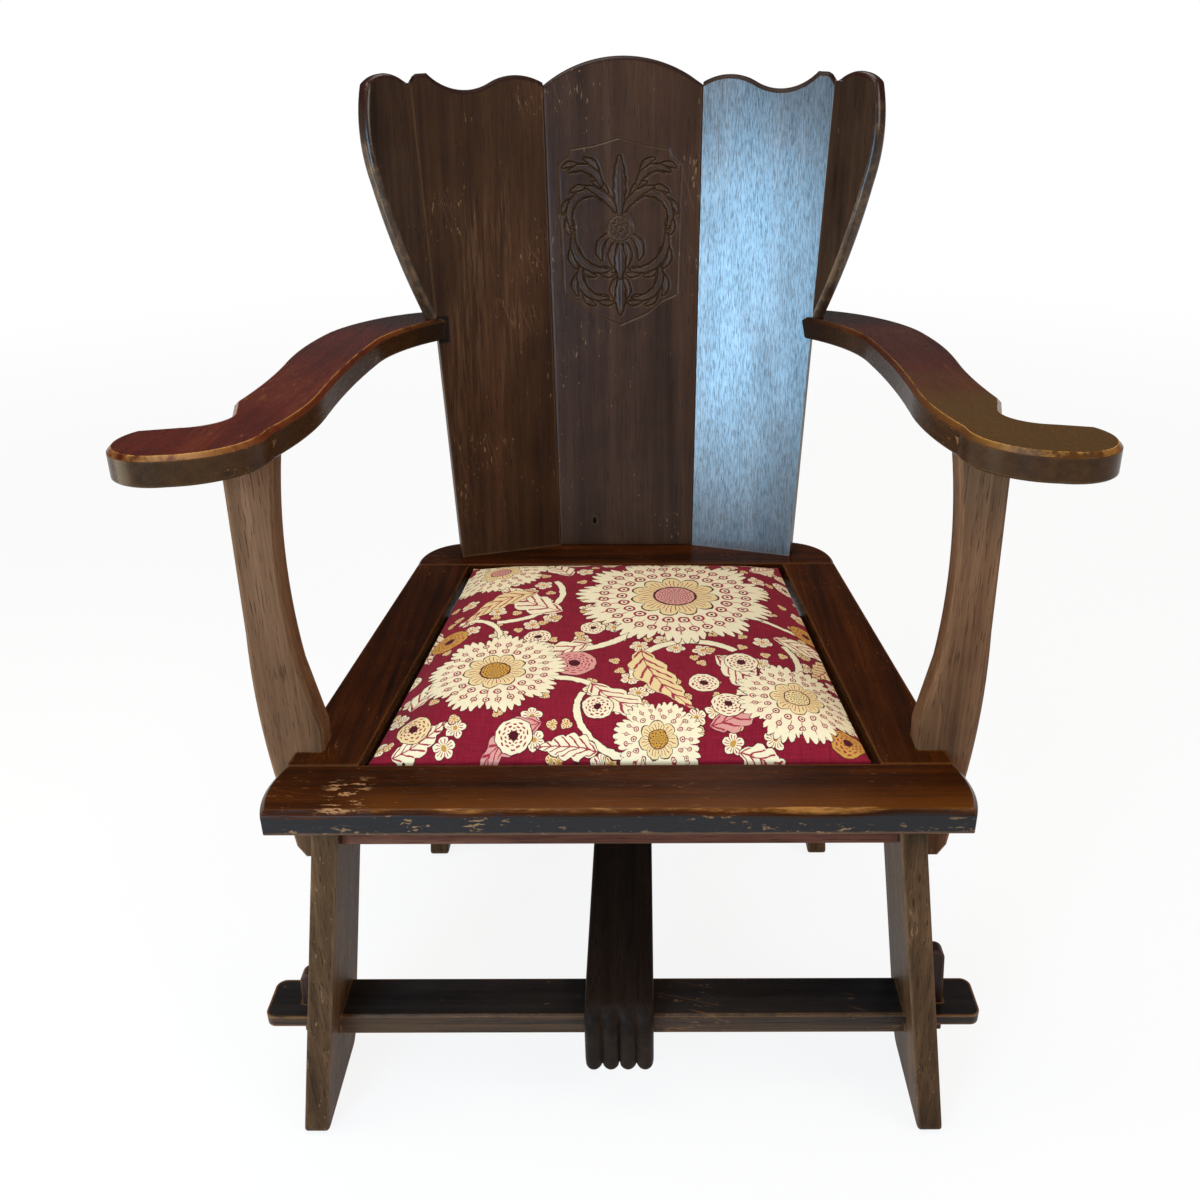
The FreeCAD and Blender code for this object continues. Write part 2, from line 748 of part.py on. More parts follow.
def seatPad():
    body = newBody("seat_pad")
    front, back, half = seatOutline("0")
    low = f"({railUnder} + seatLift + baseThick)"
    sketches = []
    for share, edge, crown in padSections:
        depth = f"({front} + {share} * ({back} - {front}))"
        wide = half(depth)
        path = [
            ("to", f"-({wide} - padTuck)", low), ("to", f"{wide} - padTuck", low),
            ("to", wide, edge), ("via", "0", f"{edge} + {crown}"), ("to", f"-{wide}", edge),
        ]
        sketches.append(draw(body, "XZ_Plane", path, f"-{depth}"))
    loft(body, sketches, ruled=False)
    return body


centreFrame, sideFrame, wingFrame, centreEdge, sideEdge = fanFrames()

# Blanks of the pieces that others are cut to
sideRailBlank = sideRail()
armBlank = armBoard()
centreBlank = centreBoard(centreFrame)
sideBlank = cut("side_board_form", sideBoard(sideFrame), centreEdge)
backRailBlank = backRail()
otherSideBlank = mirrored("side_board_mirror", sideBlank)
doc.recompute()


def framePegs():
    pegs = []
    middle = size("seatHeight - railThick / 2")
    reach = sizes["pegDepth"]
    for joint, spread in (("railDepth", sizes["sideFrontHalf"]), (openingBack, sizes["sideBackHalf"])):
        for share in (0.2, 0.55):
            for side in (-1, 1):
                x = side * (spread - share * sizes["sideWidth"])
                pegs.append(peg(spot(x, size(joint) - reach, middle), Vector(0, 1, 0), "2 * pegDepth"))
    return group("frame_pegs", pegs)


def boardPegs():
    pegs = []
    reach = sizes["pegDepth"]
    inside = sizes["boardThick"] / 2
    down = Vector(0, 0, -reach)
    places = []
    for share in (-0.5, 0.5):
        places.append(centreFrame.multVec(Vector(share * sizes["centreBottomHalf"], inside, 0)))
    for share in (0.3, 0.75):
        place = sideFrame.multVec(Vector(share * sizes["sideBoardWidth"], inside, 0))
        places += [place, Vector(-place.x, place.y, place.z)]
    for place in places:
        level = Vector(place.x, place.y, sizes["seatHeight"])
        pegs.append(peg(level + down, Vector(0, 0, 1), "2 * pegDepth"))
    return group("board_pegs", pegs)


def legPegs():
    pegs = []
    for where, depths in (("front", (0.32, 1.2)), ("back", (0.35, 0.92))):
        x = size(f"{where}LegTop - legThick / 2")
        for share in depths:
            if where == "front":
                depth = share * sizes["railDepth"]
            else:
                depth = sizes["backLegFront"] + share * (sizes["backLegTopBack"] - sizes["backLegFront"])
            for side in (-1, 1):
                foot = spot(side * x, depth, size(railUnder) - sizes["pegDepth"])
                pegs.append(peg(foot, Vector(0, 0, 1), "2 * pegDepth"))
    return group("leg_pegs", pegs)


def armPegs():
    pegs = []
    postX = size("(0.848 + 0.976) / 2 * postReach")
    depth = size("postSetback + postThick / 2")
    level = size(f"{armTop} - armThick") - (depth - sizes["armFront"]) * math.tan(math.radians(sizes["armSlope"]))
    railX = size("notchHalf")
    across = sideFrame.Rotation.multVec(Vector(1, 0, 0))
    armLevel = level - (sizes["boardSetback"] - depth) * math.tan(math.radians(sizes["armSlope"]))
    up = (armLevel + sizes["armThick"] / 2 - sizes["seatHeight"]) / sideFrame.Rotation.multVec(Vector(0, 0, 1)).z
    edge = sideFrame.multVec(Vector(size("sideBoardWidth"), sizes["boardThick"] / 2, up))
    for side in (-1, 1):
        pegs.append(peg(spot(side * postX, depth, level - sizes["pegDepth"]), Vector(0, 0, 1), "1.6 * pegDepth"))
        pegs.append(peg(spot(side * (railX - sizes["pegDepth"]), depth, size("seatHeight - railThick / 2")),
                        Vector(side, 0, 0), "2 * pegDepth"))
        foot = edge - across * sizes["pegDepth"]
        pegs.append(peg(Vector(side * foot.x, foot.y, foot.z), Vector(side * across.x, across.y, across.z),
                        "2 * pegDepth"))
    return group("arm_pegs", pegs)


def battenPegs():
    # Driven through the battens into the boards, each to half the board's thickness
    pegs = []
    for low in ("battenLow", "battenHigh"):
        up = size(f"{low} + battenWidth / 2")
        for frame, shares in ((centreFrame, (-0.42, 0.42)), (sideFrame, (0.34, 0.68))):
            wide = sizes["centreBottomHalf"] if frame is centreFrame else sizes["sideBoardWidth"]
            outward = frame.Rotation.multVec(Vector(0, 1, 0))
            for share in shares:
                heart = frame.multVec(Vector(share * wide, sizes["boardThick"] / 2, up))
                share = battenDepth(heart, outward) / sizes["boardThick"]
                sides = (1,) if frame is centreFrame else (1, -1)
                for side in sides:
                    foot = Vector(side * heart.x, heart.y, heart.z)
                    way = Vector(side * outward.x, outward.y, outward.z)
                    pegs.append(peg(foot, way, f"{share} * boardThick"))
    return group("batten_pegs", pegs)


def battenDepth(heart, outward):
    # How far a batten's back lies behind the middle of a board's thickness
    line = Part.makeLine(heart, heart + outward * (5 * sizes["battenThick"]))
    depths = [sizes["boardThick"]]
    for blank in battenBlanks:
        common = line.common(blank.Shape)
        depths += [(vertex.Point - heart).dot(outward) for vertex in common.Vertexes]
    return max(depths)


def nail(head, direction):
    # A square cut nail, driven flush at one point
    shank = doc.addObject("Part::Prism", "Nail")
    shank.Polygon = 4
    shank.setExpression("Circumradius", bound("nailRadius"))
    shank.setExpression("Height", bound("nailLength"))
    shank.Placement = Placement(head, Rotation(Vector(0, 0, 1), direction))
    return shank


def cleatNails():
    nails = []
    under = size(f"{railUnder} - cleatThick")
    up = Vector(0, 0, 1)
    for share in (0.15, 0.85):
        depth = size(f"railDepth + cleatInset + {share} * cleatLength")
        x = size(f"{sideAt(str(depth))} - sideWidth + cleatGrip / 2")
        for side in (-1, 1):
            nails.append(nail(spot(side * x, depth, under), up))
    for half, depth in (("frontLegTop", size("railDepth - cleatGrip / 2")),
                        ("backLegTop", size(f"{openingBack} + cleatGrip / 2"))):
        for side in (-1, 1):
            nails.append(nail(spot(side * 0.7 * sizes[half], depth, under), up))
    return group("cleat_nails", nails)


framePegGroup = framePegs()
boardPegGroup = boardPegs()
legPegGroup = legPegs()
armPegGroup = armPegs()

lowBatten = batten("batten_lower", "battenLow", centreFrame, (centreBlank, sideBlank, otherSideBlank))
highBatten = batten("batten_upper", "battenHigh", centreFrame, (centreBlank, sideBlank, otherSideBlank))
doc.recompute()
battenBlanks = [lowBatten, highBatten]
battenPegGroup = battenPegs()
cleatNailGroup = cleatNails()

keep("front_rail", cut("front_rail", frontRail(), framePegGroup, legPegGroup, cleatNailGroup))
sideRailRight = keep("side_rail_right", cut("side_rail_right", sideRailBlank, framePegGroup, legPegGroup,
                                            armPegGroup, cleatNailGroup))
keep("side_rail_left", mirrored("side_rail_left", sideRailRight))
keep("back_rail", cut("back_rail", backRailBlank, framePegGroup, boardPegGroup, legPegGroup, cleatNailGroup))

sideCleatRight = keep("cleat_right", cut("cleat_right", sideCleat(), cleatNailGroup))
keep("cleat_left", mirrored("cleat_left", sideCleatRight))
frontCleat = crossCleat("cleat_front_blank", f"{legAt('front', railUnder, True)} - cleatThick", "railDepth", True)
keep("cleat_front", cut("cleat_front", frontCleat, cleatNailGroup))
backCleat = crossCleat("cleat_back_blank", f"{legAt('back', railUnder, True)} - cleatThick", openingBack, False)
keep("cleat_back", cut("cleat_back", backCleat, cleatNailGroup))
keep("front_strip", frontStrip())

for where, setback, places in (
        ("front", "stretcherSetback",
         ("frontLegTopFront", "frontLegBack", "frontLegFloorFront", "frontLegBack")),
        ("back", "backStretcherSetback",
         ("backLegFront", "backLegTopBack", "backLegFloorFront", "backLegFloorBack"))):
    plank = leg(where, *places)
    hole = tenonHole(where, setback)
    rightLeg = keep(f"{where}_leg_right", cut(f"{where}_leg_right", plank, hole, legPegGroup))
    keep(f"{where}_leg_left", mirrored(f"{where}_leg_left", rightLeg))
    rightKey = keep(f"{where}_key_right", key(f"{where}_key_right", where, setback, "keyTopRight"))
    otherKey = key(f"{where}_key_other", where, setback, "keyTopLeft")
    leftKey = keep(f"{where}_key_left", mirrored(f"{where}_key_left", otherKey))
    rail = stretcher(f"{where}_stretcher", where, setback)
    keep(f"{where}_stretcher", cut(f"{where}_stretcher", rail, rightKey, leftKey))

keep("hand_rail", handRail())

keep("back_board_centre", cut("back_board_centre", centreBlank, backRailBlank, boardPegGroup,
                              battenPegGroup))
sideBoardRight = keep("back_board_right", cut("back_board_right", sideBlank, backRailBlank, boardPegGroup,
                                              armPegGroup, battenPegGroup))
keep("back_board_left", mirrored("back_board_left", sideBoardRight))
wingRight = keep("wing_right", cut("wing_right", wing(wingFrame), sideEdge, armBlank))
keep("wing_left", mirrored("wing_left", wingRight))
keep("batten_lower", cut("batten_lower", lowBatten, battenPegGroup))
keep("batten_upper", cut("batten_upper", highBatten, battenPegGroup))

armRight = keep("arm_right", cut("arm_right", armBlank, sideBlank, armPegGroup))
keep("arm_left", mirrored("arm_left", armRight))
postRight = keep("arm_post_right", cut("arm_post_right", armPost(), armBlank, sideRailBlank, armPegGroup))
keep("arm_post_left", mirrored("arm_post_left", postRight))

keep("seat_base", seatBase())
keep("seat_pad", seatPad())

doc.recompute()

for item in doc.Objects:
    broken = [state for state in item.State if state in ("Invalid", "Error")]
    if broken:
        raise RuntimeError(f"{item.Label} is {broken[0]}")
for label, piece in nodes.items():
    if piece.Shape.isNull() or not piece.Shape.isValid() or not piece.Shape.Solids:
        raise RuntimeError(f"{label} has no valid solid")

os.makedirs("parts", exist_ok=True)
whole = Part.makeCompound([piece.Shape for piece in nodes.values()])
box = whole.BoundBox
print(f"{len(nodes)} pieces, {box.XLength:.1f} x {box.YLength:.1f} x {box.ZLength:.1f} mm")
print(f"depth from {box.YMin:.1f} to {box.YMax:.1f}, lowest {box.ZMin:.2f}")
for label, piece in nodes.items():
    piece.Shape.exportStep(f"parts/{label}.step")
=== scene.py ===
import math

import bmesh
import bpy
import numpy as np
from mathutils import Matrix, Vector


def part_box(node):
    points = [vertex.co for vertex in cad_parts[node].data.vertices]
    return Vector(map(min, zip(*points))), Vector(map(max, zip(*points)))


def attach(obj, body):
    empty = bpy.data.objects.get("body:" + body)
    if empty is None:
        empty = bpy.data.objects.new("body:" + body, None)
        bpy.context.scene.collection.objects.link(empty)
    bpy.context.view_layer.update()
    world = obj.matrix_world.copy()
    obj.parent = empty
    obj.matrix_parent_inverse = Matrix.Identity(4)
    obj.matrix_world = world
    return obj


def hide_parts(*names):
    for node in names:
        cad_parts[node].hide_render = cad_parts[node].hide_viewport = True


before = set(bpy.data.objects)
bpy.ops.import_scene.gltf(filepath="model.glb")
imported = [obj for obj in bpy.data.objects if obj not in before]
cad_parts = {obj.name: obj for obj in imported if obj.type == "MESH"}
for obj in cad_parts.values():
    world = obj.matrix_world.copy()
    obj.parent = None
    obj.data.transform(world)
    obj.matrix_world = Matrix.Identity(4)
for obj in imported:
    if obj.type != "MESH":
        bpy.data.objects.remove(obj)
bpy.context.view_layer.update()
scene = bpy.context.scene
print("frame loaded:", len(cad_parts), "nodes")


# Camera, at the photograph's place: metres and degrees.

cameraView = {
    "place": (0.0231, -1.1290, 0.9907),
    "yaw": 0.2,
    "pitch": 25.9,
    "roll": 0.3,
    "lens": 33.549,
    "shift": (-0.0338, -0.0137),
}


def placeCamera(view):
    yaw, pitch, roll = (math.radians(view[k]) for k in ("yaw", "pitch", "roll"))
    up = Vector((0, 0, 1))
    ahead = Vector((-math.sin(yaw), math.cos(yaw), 0))
    side = Vector((math.cos(yaw), math.sin(yaw), 0))
    forward = ahead * math.cos(pitch) - up * math.sin(pitch)
    down = -(up * math.cos(pitch) + ahead * math.sin(pitch))
    right = side * math.cos(roll) + down * math.sin(roll)
    below = down * math.cos(roll) - side * math.sin(roll)
    data = bpy.data.cameras.new("PhotoCamera")
    data.sensor_width = 36
    data.lens = view["lens"]
    data.shift_x, data.shift_y = view["shift"]
    data.clip_start, data.clip_end = 0.05, 30
    camera = bpy.data.objects.new("PhotoCamera", data)
    scene.collection.objects.link(camera)
    camera.matrix_world = Matrix((
        (right.x, -below.x, -forward.x, view["place"][0]),
        (right.y, -below.y, -forward.y, view["place"][1]),
        (right.z, -below.z, -forward.z, view["place"][2]),
        (0, 0, 0, 1),
    ))
    scene.camera = camera


# Shader kit: a wire is a socket that can stand in an expression.

class Wire:
    def __init__(self, shop, socket):
        self.shop = shop
        self.socket = socket

    def plain(self):
        return self.socket.type == "VALUE"

    def sum(self, kind, first, second):
        vectors = any(isinstance(value, Wire) and not value.plain() for value in (first, second))
        node = "ShaderNodeVectorMath" if vectors else "ShaderNodeMath"
        return self.shop.node(node, {"operation": kind}, {0: first, 1: second})

    def __add__(self, other):
        return self.sum("ADD", self, other)

    def __radd__(self, other):
        return self.sum("ADD", other, self)

    def __sub__(self, other):
        return self.sum("SUBTRACT", self, other)

    def __rsub__(self, other):
        return self.sum("SUBTRACT", other, self)

    def __mul__(self, other):
        return self.sum("MULTIPLY", self, other)

    def __rmul__(self, other):
        return self.sum("MULTIPLY", other, self)

    def __truediv__(self, other):
        return self.sum("DIVIDE", self, other)

    def __rtruediv__(self, other):
        return self.sum("DIVIDE", other, self)

    def __pow__(self, other):
        return self.sum("POWER", self, other)

    def __abs__(self):
        return self.shop.node("ShaderNodeMath", {"operation": "ABSOLUTE"}, {0: self})


class Finish:
    def __init__(self, name, tree=None):
        if tree is None:
            self.material = bpy.data.materials.new(name)
            self.material.use_nodes = True
            tree = self.material.node_tree
        self.tree = tree
        self.tree.nodes.clear()

    def node(self, kind, settings=None, inputs=None, output=0):
        made = self.tree.nodes.new(kind)
        for key, value in (settings or {}).items():
            if key == "stops":
                ramp = made.color_ramp
                while len(ramp.elements) < len(value):
                    ramp.elements.new(1)
                for element, (place, colour) in zip(ramp.elements, value):
                    element.position = place
                    element.color = colour
            else:
                setattr(made, key, value)
        for key, value in (inputs or {}).items():
            if isinstance(value, Wire):
                self.tree.links.new(value.socket, made.inputs[key])
            else:
                made.inputs[key].default_value = value
        return Wire(self, made.outputs[output]) if made.outputs else None

    def call(self, kind, value, other=0.0, third=0.0):
        return self.node("ShaderNodeMath", {"operation": kind}, {0: value, 1: other, 2: third})

    def larger(self, first, second):
        return self.call("MAXIMUM", first, second)

    def smaller(self, first, second):
        return self.call("MINIMUM", first, second)

    def step(self, value, low, high):
        return self.node(
            "ShaderNodeMapRange",
            {"interpolation_type": "SMOOTHSTEP"},
            {"Value": value, "From Min": low, "From Max": high},
        )

    def noise(self, place, scale=1.0, detail=2.0, roughness=0.5, distortion=0.0):
        return self.node("ShaderNodeTexNoise", {}, {
            "Vector": place, "Scale": scale, "Detail": detail, "Roughness": roughness,
            "Distortion": distortion,
        })

    def mix(self, share, first, second):
        return self.node("ShaderNodeMix", {"data_type": "RGBA"}, {0: share, 6: first, 7: second}, 2)

    def ramp(self, value, stops):
        return self.node("ShaderNodeValToRGB", {"stops": [(p, tint(c)) for p, c in stops]}, {0: value})

    def parts(self, vector):
        made = self.node("ShaderNodeSeparateXYZ", {}, {0: vector})
        return [Wire(self, made.socket.node.outputs[i]) for i in range(3)]

    def whole(self, colour, roughness, bump, strength, distance, **fixed):
        relief = {"Strength": strength, "Distance": distance, "Height": bump}
        normal = self.node("ShaderNodeBump", {}, relief)
        inputs = {"Base Color": colour, "Roughness": roughness, "Normal": normal, **fixed}
        surface = self.node("ShaderNodeBsdfPrincipled", {}, inputs)
        self.node("ShaderNodeOutputMaterial", {}, {"Surface": surface})


def tint(text):
    parts = [int(text[i:i + 2], 16) / 255 for i in (0, 2, 4)]
    return tuple(p / 12.92 if p <= 0.04045 else ((p + 0.055) / 1.055) ** 2.4 for p in parts) + (1.0,)


# Wood finishes. Colours are written as they look; lengths in metres.

# what a look leaves out
commonLook = {"coat": 0.0, "coatIor": 1.5, "coatRough": 0.28, "bump": 0.45}

# colours from the pores to the light wood, then bare wood, and how much of each kind of wear
oakLooks = {
    "oakLeft": {
        "colours": ("1f0f07", "351f0f", "462a18"), "worn": "745638", "wear": 0.3, "chips": 0.6,
        "scratches": 0.5, "gloss": 0.42, "shine": 0.09, "crest": "200a06",
    },
    "oakRight": {
        "colours": ("1a120c", "3a2a1f", "564334"), "worn": "745638", "wear": 0.3, "chips": 0.5,
        "scratches": 0.5, "gloss": 0.40, "shine": 0.14, "crest": "200a06",
        "sheen": 0.9, "coatIor": 2.7, "coatRough": 0.34,
    },
    "oakCentre": {
        "colours": ("24150c", "3b261a", "4a3323"), "worn": "7c5f43", "wear": 0.2, "chips": 0.7,
        "scratches": 0.5, "gloss": 0.40, "shine": 0.10, "crest": "200a06",
        "coat": 0.18, "coatRough": 0.22,
    },
    "oakWing": {
        "colours": ("1c110b", "36251a", "483122"), "worn": "7b5c38", "wear": 0.25, "chips": 0.5,
        "scratches": 0.3, "gloss": 0.36, "shine": 0.15, "crest": "2a0f09",
        "coat": 0.35, "coatRough": 0.18,
    },
    "oakRail": {
        "colours": ("190903", "391804", "50270a"), "worn": "7a4a20", "wear": 0.5, "chips": 0.5,
        "scratches": 0.5, "gloss": 0.26, "shine": 0.12,
    },
    "oakArm": {
        "colours": ("320d07", "50190c", "632a14"), "worn": "c08a45", "wear": 0.1, "chips": 0.3,
        "scratches": 0.3, "gloss": 0.27, "shine": 0.11, "bump": 0.2,
        "sides": ("24170d", "4a321a"), "streaks": (0.2, 0.8),
    },
    "oakPost": {
        "colours": ("43291a", "6f4c33", "8e6549"), "worn": "9a7450", "wear": 0.35, "chips": 0.2,
        "scratches": 0.2, "gloss": 0.5, "shine": 0.08,
    },
    "oakStrip": {
        "colours": ("381b12", "633829", "7d4e3b"), "worn": "8a6248", "wear": 0.4, "chips": 0.2,
        "scratches": 0.2, "gloss": 0.5, "shine": 0.08,
    },
    "oakLeg": {
        "colours": ("28190e", "4c3522", "6b4c32"), "worn": "8a6a4a", "wear": 0.6, "chips": 0.6,
        "scratches": 0.4, "gloss": 0.52, "shine": 0.05,
    },
    "oakStretcher": {
        "colours": ("120e0c", "231e1c", "322a26"), "worn": "8f6138", "wear": 0.9, "chips": 0.4,
        "scratches": 0.5, "gloss": 0.42, "shine": 0.2,
        "sides": ("180e08", "513620"), "streaks": (0.40, 0.60),
    },
    "oakKey": {
        "colours": ("1c100b", "34201a", "482f24"), "worn": "70523a", "wear": 0.6, "chips": 0.2,
        "scratches": 0.3, "gloss": 0.42, "shine": 0.15,
    },
    "oakHand": {
        "colours": ("120d0b", "241a14", "31231a"), "worn": "463222", "wear": 0.4, "chips": 0.1,
        "scratches": 0.2, "gloss": 0.46, "shine": 0.05,
    },
    "oakHidden": {
        "colours": ("33241a", "5a4431", "785d42"), "worn": "8b6d4b", "wear": 0.4, "chips": 0.1,
        "scratches": 0.2, "gloss": 0.58, "shine": 0.15,
    },
}

# grain of the whole chair: noise scales along and across it, and where each mark starts and is full
oak = {
    "figure": (2.0, 24.0, 24.0), "ring": (2.6, 130.0, 130.0), "fibre": (16.0, 900.0, 900.0),
    "pore": (42.0, 760.0, 760.0), "poreCut": (0.60, 0.70), "cloud": 9, "tones": (0.34, 0.5, 0.68),
    "chip": (90.0, 300.0, 300.0), "chipCut": (0.965, 1.0), "group": 9,
    "scratch": (3.0, 70.0, 70.0), "skew": (0.2, 0.18, 0.24), "scratchWidth": 0.012,
    "scratchIn": (0.56, 0.64), "arris": 0.0045, "rub": 34, "arrisCut": (0.72, 1.02), "relief": 0.0006,
    "crestRise": (0.24, 0.36), "crestFrom": (0.892, 0.908),
}

# the right board's polish lies on its front face only: broken by the open grain, and rubbed
# thinner towards the wing, the top and the foot
polish = {
    "speck": (84.0, 840.0, 840.0), "speckCut": (0.34, 0.60), "speckShare": 0.66,
    "blot": (5.0, 16.0, 16.0), "blotCut": (0.30, 0.66), "blotShare": 0.30,
    "wing": (0.13, 0.24), "wingShare": 0.32, "top": (0.82, 0.93), "topShare": 0.28,
    "foot": (0.40, 0.62), "footShare": 0.34, "front": (0.5, 0.8), "rise": (0.25, 0.32),
}


def trueNormal(shop):
    return shop.node("ShaderNodeNewGeometry", {}, {}, "Normal")


def arrisMask(shop, body):
    # rubbed arrises, where the bevelled normal leaves the real one
    soft = shop.node("ShaderNodeBevel", {"samples": 6}, {"Radius": oak["arris"]})
    inputs = {0: soft, 1: trueNormal(shop)}
    facing = shop.node("ShaderNodeVectorMath", {"operation": "DOT_PRODUCT"}, inputs, "Value")
    rub = shop.noise(body, oak["rub"], 4, 0.65)
    return shop.step(shop.step(1 - facing, 0.004, 0.06) * 0.6 + rub * 0.8, *oak["arrisCut"])


def polishCoat(shop, body, grain, look):
    across, _, level = shop.parts(body)
    _, outward, rise = shop.parts(trueNormal(shop))
    speck = shop.step(shop.noise(grain * polish["speck"], 1, 3, 0.75), *polish["speckCut"])
    blot = shop.step(shop.noise(grain * polish["blot"], 1, 3, 0.6), *polish["blotCut"])
    coat = shop.step(-1 * outward, *polish["front"]) * (1 - shop.step(rise, *polish["rise"]))
    coat = coat * look["sheen"]
    coat = coat * (speck * polish["speckShare"] + (1 - polish["speckShare"]))
    coat = coat * (blot * polish["blotShare"] + (1 - polish["blotShare"]))
    coat = coat * (1 - shop.step(across, *polish["wing"]) * polish["wingShare"])
    coat = coat * (1 - shop.step(level, *polish["top"]) * polish["topShare"])
    return coat * (shop.step(level, *polish["foot"]) * polish["footShare"] + (1 - polish["footShare"]))


def woodFinish(name, look, onNode=False, extra=None):
    look = {**commonLook, **look}
    shop = Finish(name)
    body = shop.node("ShaderNodeTexCoord", {}, {}, "Object")
    if onNode:
        # the grain of a plain node runs along its height
        grain = shop.node("ShaderNodeMapping", {}, {"Vector": body, "Rotation": (0, math.pi / 2, 0)})
    else:
        grain = shop.node("ShaderNodeAttribute", {"attribute_name": "grain"}, {}, "Vector")
    figure = shop.noise(grain * oak["figure"], 1, 5, 0.6, 0.5)
    ring = shop.noise(grain * oak["ring"], 1, 3, 0.6, 0.2)
    fibre = shop.noise(grain * oak["fibre"], 1, 2, 0.5)
    pore = shop.step(shop.noise(grain * oak["pore"], 1, 1, 0.5), *oak["poreCut"])
    cloud = shop.noise(body, oak["cloud"], 3, 0.6)
    deep = tint(look["colours"][0])
    worn = tint(look["worn"])
    tone = figure * 0.55 + ring * 0.35 + cloud * 0.25 - 0.075
    colour = shop.ramp(tone, list(zip(oak["tones"], look["colours"])))
    colour = shop.mix(shop.step(fibre, 0.35, 0.75) * 0.35, colour, deep)
    colour = shop.mix(pore * 0.75, colour, deep)
    rise = shop.parts(trueNormal(shop))[2]
    arris = arrisMask(shop, body) * look["wear"]
    if "crest" in look:
        # the boards' top arris is dark, not rubbed
        crest = shop.step(rise, *oak["crestRise"]) * shop.step(shop.parts(body)[2], *oak["crestFrom"])
        colour = shop.mix(crest * 0.85, colour, tint(look["crest"]))
        arris = arris * (1 - crest)
    if "sides" in look:
        darkSide, paleSide = (tint(c) for c in look["sides"])
        streak = shop.step(figure * 0.4 + ring * 0.4 + fibre * 0.2, *look["streaks"])
        aside = (1 - shop.step(rise, 0.3, 0.8)) * 0.9
        colour = shop.mix(aside, colour, shop.mix(streak, darkSide, paleSide))
    colour = shop.mix(arris, colour, worn)
    # small pale chips in loose groups, and fine straight scratches
    group = shop.noise(body, oak["group"], 2, 0.5)
    chip = shop.noise(grain * oak["chip"], 1, 2, 0.6) + group * 0.5
    chip = shop.step(chip, *oak["chipCut"]) * look["chips"]
    colour = shop.mix(chip, colour, worn)
    skew = shop.node("ShaderNodeMapping", {}, {"Vector": grain, "Rotation": oak["skew"]})
    line = abs(shop.noise(skew * oak["scratch"], 1, 0, 0.5) - 0.5)
    scratch = shop.step(oak["scratchWidth"] - line, 0, 0.008) * shop.step(group, *oak["scratchIn"])
    scratch = scratch * look["scratches"]
    colour = shop.mix(scratch * 0.45, colour, worn)
    if extra:
        colour = extra(shop, body, grain, colour)
    height = fibre * 0.3 + figure * 0.5 - pore * 0.5 - chip * 0.7 - scratch * 0.5
    rough = fibre * 0.14 + chip * 0.25 + cloud * 0.12 + (look["gloss"] - 0.13)
    coat = polishCoat(shop, body, grain, look) if "sheen" in look else look["coat"]
    shop.whole(colour, rough, height, look["bump"], oak["relief"], **{
        "Specular IOR Level": look["shine"], "Coat Weight": coat, "Coat IOR": look["coatIor"],
        "Coat Roughness": look["coatRough"],
    })
    return shop.material


# front rail: amber towards its top front edge, near black on its face, with a raw patch at one end
frontWear = {
    "amber": ("6a3a10", 0.55), "amberFore": (0.300, 0.350), "amberEnd": (-0.27, -0.20),
    "top": (0.3885, 0.3915), "gold": ("a87238", 0.65), "goldFore": (0.3430, 0.3448),
    "goldEnd": (-0.255, -0.19), "face": (0.3440, 0.3462), "faceTop": (0.3850, 0.3885),
    "black": "262424", "chip": "8d6a48", "chipCut": (0.60, 0.65), "chipGroups": (0.42, 0.62),
    "foot": (0.3705, 0.3725), "footColour": ("6a4a33", 0.7), "rawAcross": (0.216, 0.232),
    "rawEnd": (0.250, 0.268), "rawFore": (0.292, 0.304), "rawCut": (0.55, 0.58),
    "raw": ("a0744e", 0.9),
}


def frontRailColour(shop, body, grain, colour):
    wear = frontWear
    across, back, rise = shop.parts(body)
    fore = -1 * back
    leftward = -1 * across
    wave = shop.noise(body * (9.0, 0.0, 0.0), 1, 1, 0.5) - 0.5
    rough = shop.noise(body * (60.0, 300.0, 300.0), 1, 3, 0.6)

    def paint(mask, name):
        dye, share = wear[name]
        return shop.mix(mask * share, colour, tint(dye))

    top = shop.step(rise + wave * 0.010, *wear["top"])
    near = shop.step(fore + wave * 0.02, *wear["amberFore"])
    colour = paint(near * top * shop.step(across, *wear["amberEnd"]), "amber")
    edge = shop.step(fore + wave * 0.006 + rough * 0.004, *wear["goldFore"]) * top
    edge = edge * shop.step(across, *wear["goldEnd"])
    colour = paint(edge * shop.step(rough + wave, 0.40, 0.76), "gold")
    face = shop.step(fore, *wear["face"]) * (1 - shop.step(rise + wave * 0.012, *wear["faceTop"]))
    chip = shop.step(shop.noise(body * (110.0, 200.0, 280.0), 1, 3, 0.6), *wear["chipCut"])
    patch = shop.step(shop.noise(body * (14.0, 10.0, 60.0), 1, 2, 0.5), *wear["chipGroups"])
    black = shop.mix(chip * patch, tint(wear["black"]), tint(wear["chip"]))
    colour = shop.mix(face * 0.95, colour, black)
    colour = paint(face * (1 - shop.step(rise + rough * 0.004, *wear["foot"])), "footColour")
    corner = shop.step(leftward, *wear["rawAcross"]) * (1 - shop.step(leftward, *wear["rawEnd"]))
    corner = corner * shop.step(fore, *wear["rawFore"]) * top
    raw = shop.step(shop.noise(body * (70.0, 260.0, 60.0), 1, 3, 0.65), *wear["rawCut"])
    return paint(corner * raw, "raw")


